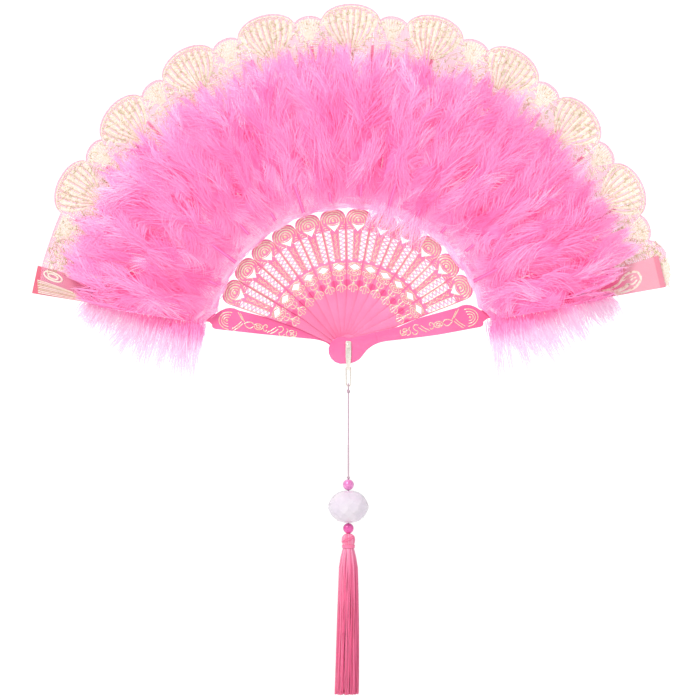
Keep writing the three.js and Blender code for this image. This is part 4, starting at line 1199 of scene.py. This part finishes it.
def tuft_barbs(inside, outside, locks, barbs, guard_side=0):
    """Locks of barbs that stream away from the tuft's heart. On a guard they stop at its outer edge and leave
    its tip clear"""
    middle, half = (inside + outside) / 2, (outside - inside) / 2
    starts = feather_random.uniform(-1, 1, (locks, 2))
    around = np.radians(middle + half * 0.85 * starts[:, 0])
    places = feather_heart + heart_spread * np.sign(starts[:, 1]) * np.abs(starts[:, 1]) ** 0.8
    across = scatter(0.38, locks) + 0.5 * starts[:, 0]
    streaming = np.where(starts[:, 1] + scatter(0.25, locks) > -0.15, 1.0, -1.0)
    swing = np.arctan2(across, streaming)
    turn = scatter(0.55, locks)
    lengths = feather_random.uniform(20, 36, locks)
    heights = np.repeat(feather_random.uniform(0.68, 0.98, locks), barbs)[:, None]
    lock_tones = barb_tone + scatter(0.1, locks)
    spread = scatter(0.16, locks, barbs, 1)
    curl = scatter(0.22, locks, barbs, 1)
    reach = lengths[:, None, None] * feather_random.uniform(0.35, 1.1, (locks, barbs, 1))
    heading = swing[:, None, None] + spread + (turn[:, None, None] + curl) * barb_share
    base_x = (np.sin(around) * places)[:, None, None] + scatter(1.9, locks, barbs, 1)
    base_z = (np.cos(around) * places)[:, None, None] + scatter(2.4, locks, barbs, 1)
    facing = heading + around[:, None, None]
    x = (base_x + streamed(reach, np.sin(facing))).reshape(-1, 5)
    z = (base_z + streamed(reach, np.cos(facing))).reshape(-1, 5)
    turned = np.degrees(np.arctan2(x, z))
    placed = np.hypot(x, z)
    spill = np.degrees(5.0 / placed)
    turned = limited(turned, inside - spill + 1.2, outside + spill - 1.2, 1.4)
    if guard_side:
        edge = np.degrees((5.5 + 0.05 * (placed - 94)) / placed)
        turned = guard_side * limited(turned * guard_side, -90, edge - 0.5, 0.5)
    phases = feather_random.uniform(0, 2 * np.pi, 3)
    dips = 5 + 8 * np.sin(1.5 * turned + phases[0]) + 5 * np.sin(3.1 * turned + phases[1])
    dips = dips + 3 * np.sin(6.5 * turned + phases[2])
    furthest = feather_end - np.clip(dips, -5, 17) - tip_clearance(x, guard_side)
    furthest = furthest - np.repeat(np.abs(scatter(4, locks)), barbs)[:, None] + scatter(3, len(x), 1)
    nearest = feather_start - 2.5 + 1.2 * np.abs(turned - middle) / half
    nearest = nearest + np.abs(np.repeat(scatter(2.6, locks), barbs)[:, None]) + scatter(0.7, len(x), 1)
    nearest = nearest + foot_clearance(x, guard_side)
    placed = limited(placed, nearest, 1000, 2.5)
    placed = limited(placed, 0, np.maximum(furthest, nearest + 8), 5)
    lift = heights * (0.9 + 0.14 * barb_share) + scatter(0.035, len(x), 1)
    depth, slope = puff(placed, turned - middle, lift, half)
    depth = np.maximum(depth, 1.0 + 2.2 * barb_share * heights)
    turns = np.radians(turned)
    lines = np.stack([np.sin(turns) * placed, -depth, np.cos(turns) * placed], axis=-1)
    normals = np.stack([-slope * np.sin(turns), -np.ones_like(slope), -slope * np.cos(turns)], axis=-1)
    normals += np.repeat(scatter(0.12, locks, 1, 3), barbs, axis=0) + scatter(0.05, len(x), 1, 3)
    widths = (barb_width * np.array([0.7, 1.0, 0.9, 0.65, 0.25]))[:, None]
    tones = np.repeat(lock_tones, barbs)[:, None] + scatter(0.035, len(x), 1) + 0.13 * barb_share ** 1.6
    tones = tones + 0.22 * np.clip((feather_start + 9 - placed) / 9, 0, 1)
    tones = tones + 0.14 * np.clip((placed - 180) / 22, 0, 1)
    return barb_ribbons(lines, widths, unit(normals), tones)


def bare_quill(length):
    """The bare foot of the feathers' quills, bundled along the rib at the tuft's inner edge"""
    places = feather_start - 4 + (length + 8) * barb_share
    depths = puff(places, 0, 0.98, tuft_half)[0] + np.array([1.2, 1.2, 1.0, 0.4, -4.0])
    # The two outer strands are darker than the middle one: painted shade along the edges of the bundle on the
    # rib.
    offsets, tones = np.array([-0.85, 0.85, 0.0]), np.array([-0.05, 0.05, 0.26])
    x = offsets[:, None] * np.linspace(1.15, 0.7, 5)
    lines = np.stack([x, np.tile(-depths, (3, 1)) - 0.1 * np.abs(x), np.tile(places, (3, 1))], axis=-1)
    normals = np.tile((0.0, -1.0, 0.0), (3, 5, 1))
    widths = np.array([0.55, 0.55, 1.5])[:, None, None] * np.linspace(1.0, 0.6, 5)[:, None]
    return barb_ribbons(lines, widths, normals, np.tile(tones[:, None], (1, 5)))


def overhang_barbs(out, locks, barbs):
    """Barbs that stream past a guard's outer edge: short and pink at the edge, and some long and pale"""
    share = (((np.arange(locks) + feather_random.uniform(0, 1, locks)) / locks) ** 1.2)[:, None, None]
    longest = np.interp(share, [0, 0.35, 1], [43, 42, 15])
    long_lock = feather_random.uniform(0, 1, (locks, 1, 1)) < 0.24
    lock_reach = 7 + longest * feather_random.beta(0.9, 1.5, (locks, 1, 1))
    reach = np.where(long_lock, 0.95 * longest, lock_reach)
    reach = np.minimum(reach * feather_random.uniform(0.45, 1.2, (locks, barbs, 1)), longest)
    rising = 0.58 * share - 0.14
    heading = rising + scatter(0.12, locks, 1, 1) + scatter(0.11, locks, barbs, 1)
    heading = heading + (scatter(0.2, locks, 1, 1) + scatter(0.12, locks, barbs, 1)) * barb_share
    x = 3.0 + scatter(2.2, locks, barbs, 1) + 4 * share + streamed(reach, np.cos(heading))
    first, last_wisp = 100 if out < 0 else 96, 11
    z = first + 2 + (176 - first) * share + scatter(2.2, locks, barbs, 1) + streamed(reach, np.sin(heading))
    wisp_shares = share * last_wisp + feather_random.uniform(-0.7, 0.7, (locks, 1, 1))
    wisp = np.clip(np.round(wisp_shares), 0, last_wisp)
    wisp_lean = scatter(0.12, last_wisp + 1)[wisp.astype(int)]
    wisp_rise = reach * barb_share * np.sin(rising + wisp_lean)
    wisp_line = first + 4 + (175 - first) * wisp / last_wisp + wisp_rise
    z = z + (wisp_line - z) * 0.6 * np.clip((reach * barb_share - 5) / 22, 0, 1)
    depth = feather_random.uniform(3, 15, (locks, barbs, 1)) * (1 - 0.6 * barb_share)
    x, z, depth = x.reshape(-1, 5), z.reshape(-1, 5), depth.reshape(-1, 5)
    lines = np.stack([out * x, -depth, limited(z, first, 183, 4.0)], axis=-1)
    normals = unit(np.tile((0.1 * out, -1.0, 0.0), (len(x), 5, 1)) + scatter(0.1, len(x), 1, 3))
    widths = (edge_barb_width * np.array([1.0, 1.0, 0.8, 0.6, 0.3]))[:, None]
    pale_from = 9 - 9 * np.clip((np.repeat(share[:, 0], barbs, axis=0) - 0.25) / 0.6, 0, 1)
    tones = edge_barb_tone + scatter(0.05, len(x), 1) + 0.5 * np.clip((x - pale_from) / 16, 0, 1) ** 0.8
    return barb_ribbons(lines, widths, normals, tones)


def stray_barbs(count):
    """A thin veil of long barbs that has slipped inwards over the pierced part of the stick"""
    heading = np.pi + scatter(0.3, count, 1) + scatter(0.35, count, 1) * barb_share
    reach = feather_random.uniform(12, 30, (count, 1))
    x = scatter(4.5, count, 1) + streamed(reach, np.sin(heading))
    z = 105 + scatter(4, count, 1) + streamed(reach, np.cos(heading))
    depth = feather_random.uniform(1.5, 6, (count, 1)) + 2 * barb_share
    lines = np.stack([limited(x, -10, 10, 2), -depth, z], axis=-1)
    normals = unit(np.tile((0.0, -1.0, 0.0), (count, 5, 1)) + scatter(0.1, count, 1, 3))
    widths = (stray_barb_width * np.array([0.8, 1.0, 0.85, 0.6, 0.2]))[:, None]
    tones = stray_barb_tone + 0.2 * barb_share + scatter(0.05, count, 1)
    return barb_ribbons(lines, widths, normals, tones)


def dress_tuft(name, cad_node, body, angle, back, parts):
    points, faces = joined(*[(points, faces) for points, faces, _, _ in parts])
    normals = np.vstack([normals for _, _, normals, _ in parts])
    tones = np.concatenate([tones for _, _, _, tones in parts])
    tuft = new_piece(name, leaned(points, angle, back), faces, marabou)
    tuft.data.normals_split_custom_set_from_vertices(leaned(normals, angle).tolist())
    set_tone(tuft, np.clip(tones, 0, 1))
    declared(tuft, cad_node, body)


tuft_locks, lock_barbs, edge_locks, edge_lock_barbs = 90, 56, 120, 20
tuft_back, rear_back, front_back = -1.55, 6.25, -9.45
pad_height, guard_pad_height = 0.66, 0.6
for index in range(12):
    number = f"{index + 1:02d}"
    bare = feather_random.choice((4, 9, 15))
    parts = [
        down_pad(-pad_half, pad_half, pad_height),
        tuft_barbs(-tuft_half, tuft_half, tuft_locks, lock_barbs),
        bare_quill(bare),
    ]
    if index in (7, 8):
        parts.append(stray_barbs(260))
    name, cad_node, body = "marabou_tuft_" + number, "feathers_" + number, "stick_" + number
    dress_tuft(name, cad_node, body, stick_angle(index), stick_depth(index) + tuft_back, parts)

rear_parts = [
    down_pad(-3.1, 6.9, guard_pad_height, -1),
    tuft_barbs(-3.6, 7.08, tuft_locks, lock_barbs, -1),
    overhang_barbs(-1, edge_locks, edge_lock_barbs),
]
dress_tuft("marabou_rear_guard", "feathers_guard_rear", "rear_guard", rear_guard_angle, rear_back, rear_parts)
front_parts = [
    down_pad(-7.8, 3.1, guard_pad_height, 1),
    tuft_barbs(-8.04, 3.6, tuft_locks, lock_barbs, 1),
    overhang_barbs(1, edge_locks, edge_lock_barbs),
]
dress_tuft(
    "marabou_front_guard", "feathers_guard_front", "front_guard", front_guard_angle, front_back, front_parts,
)
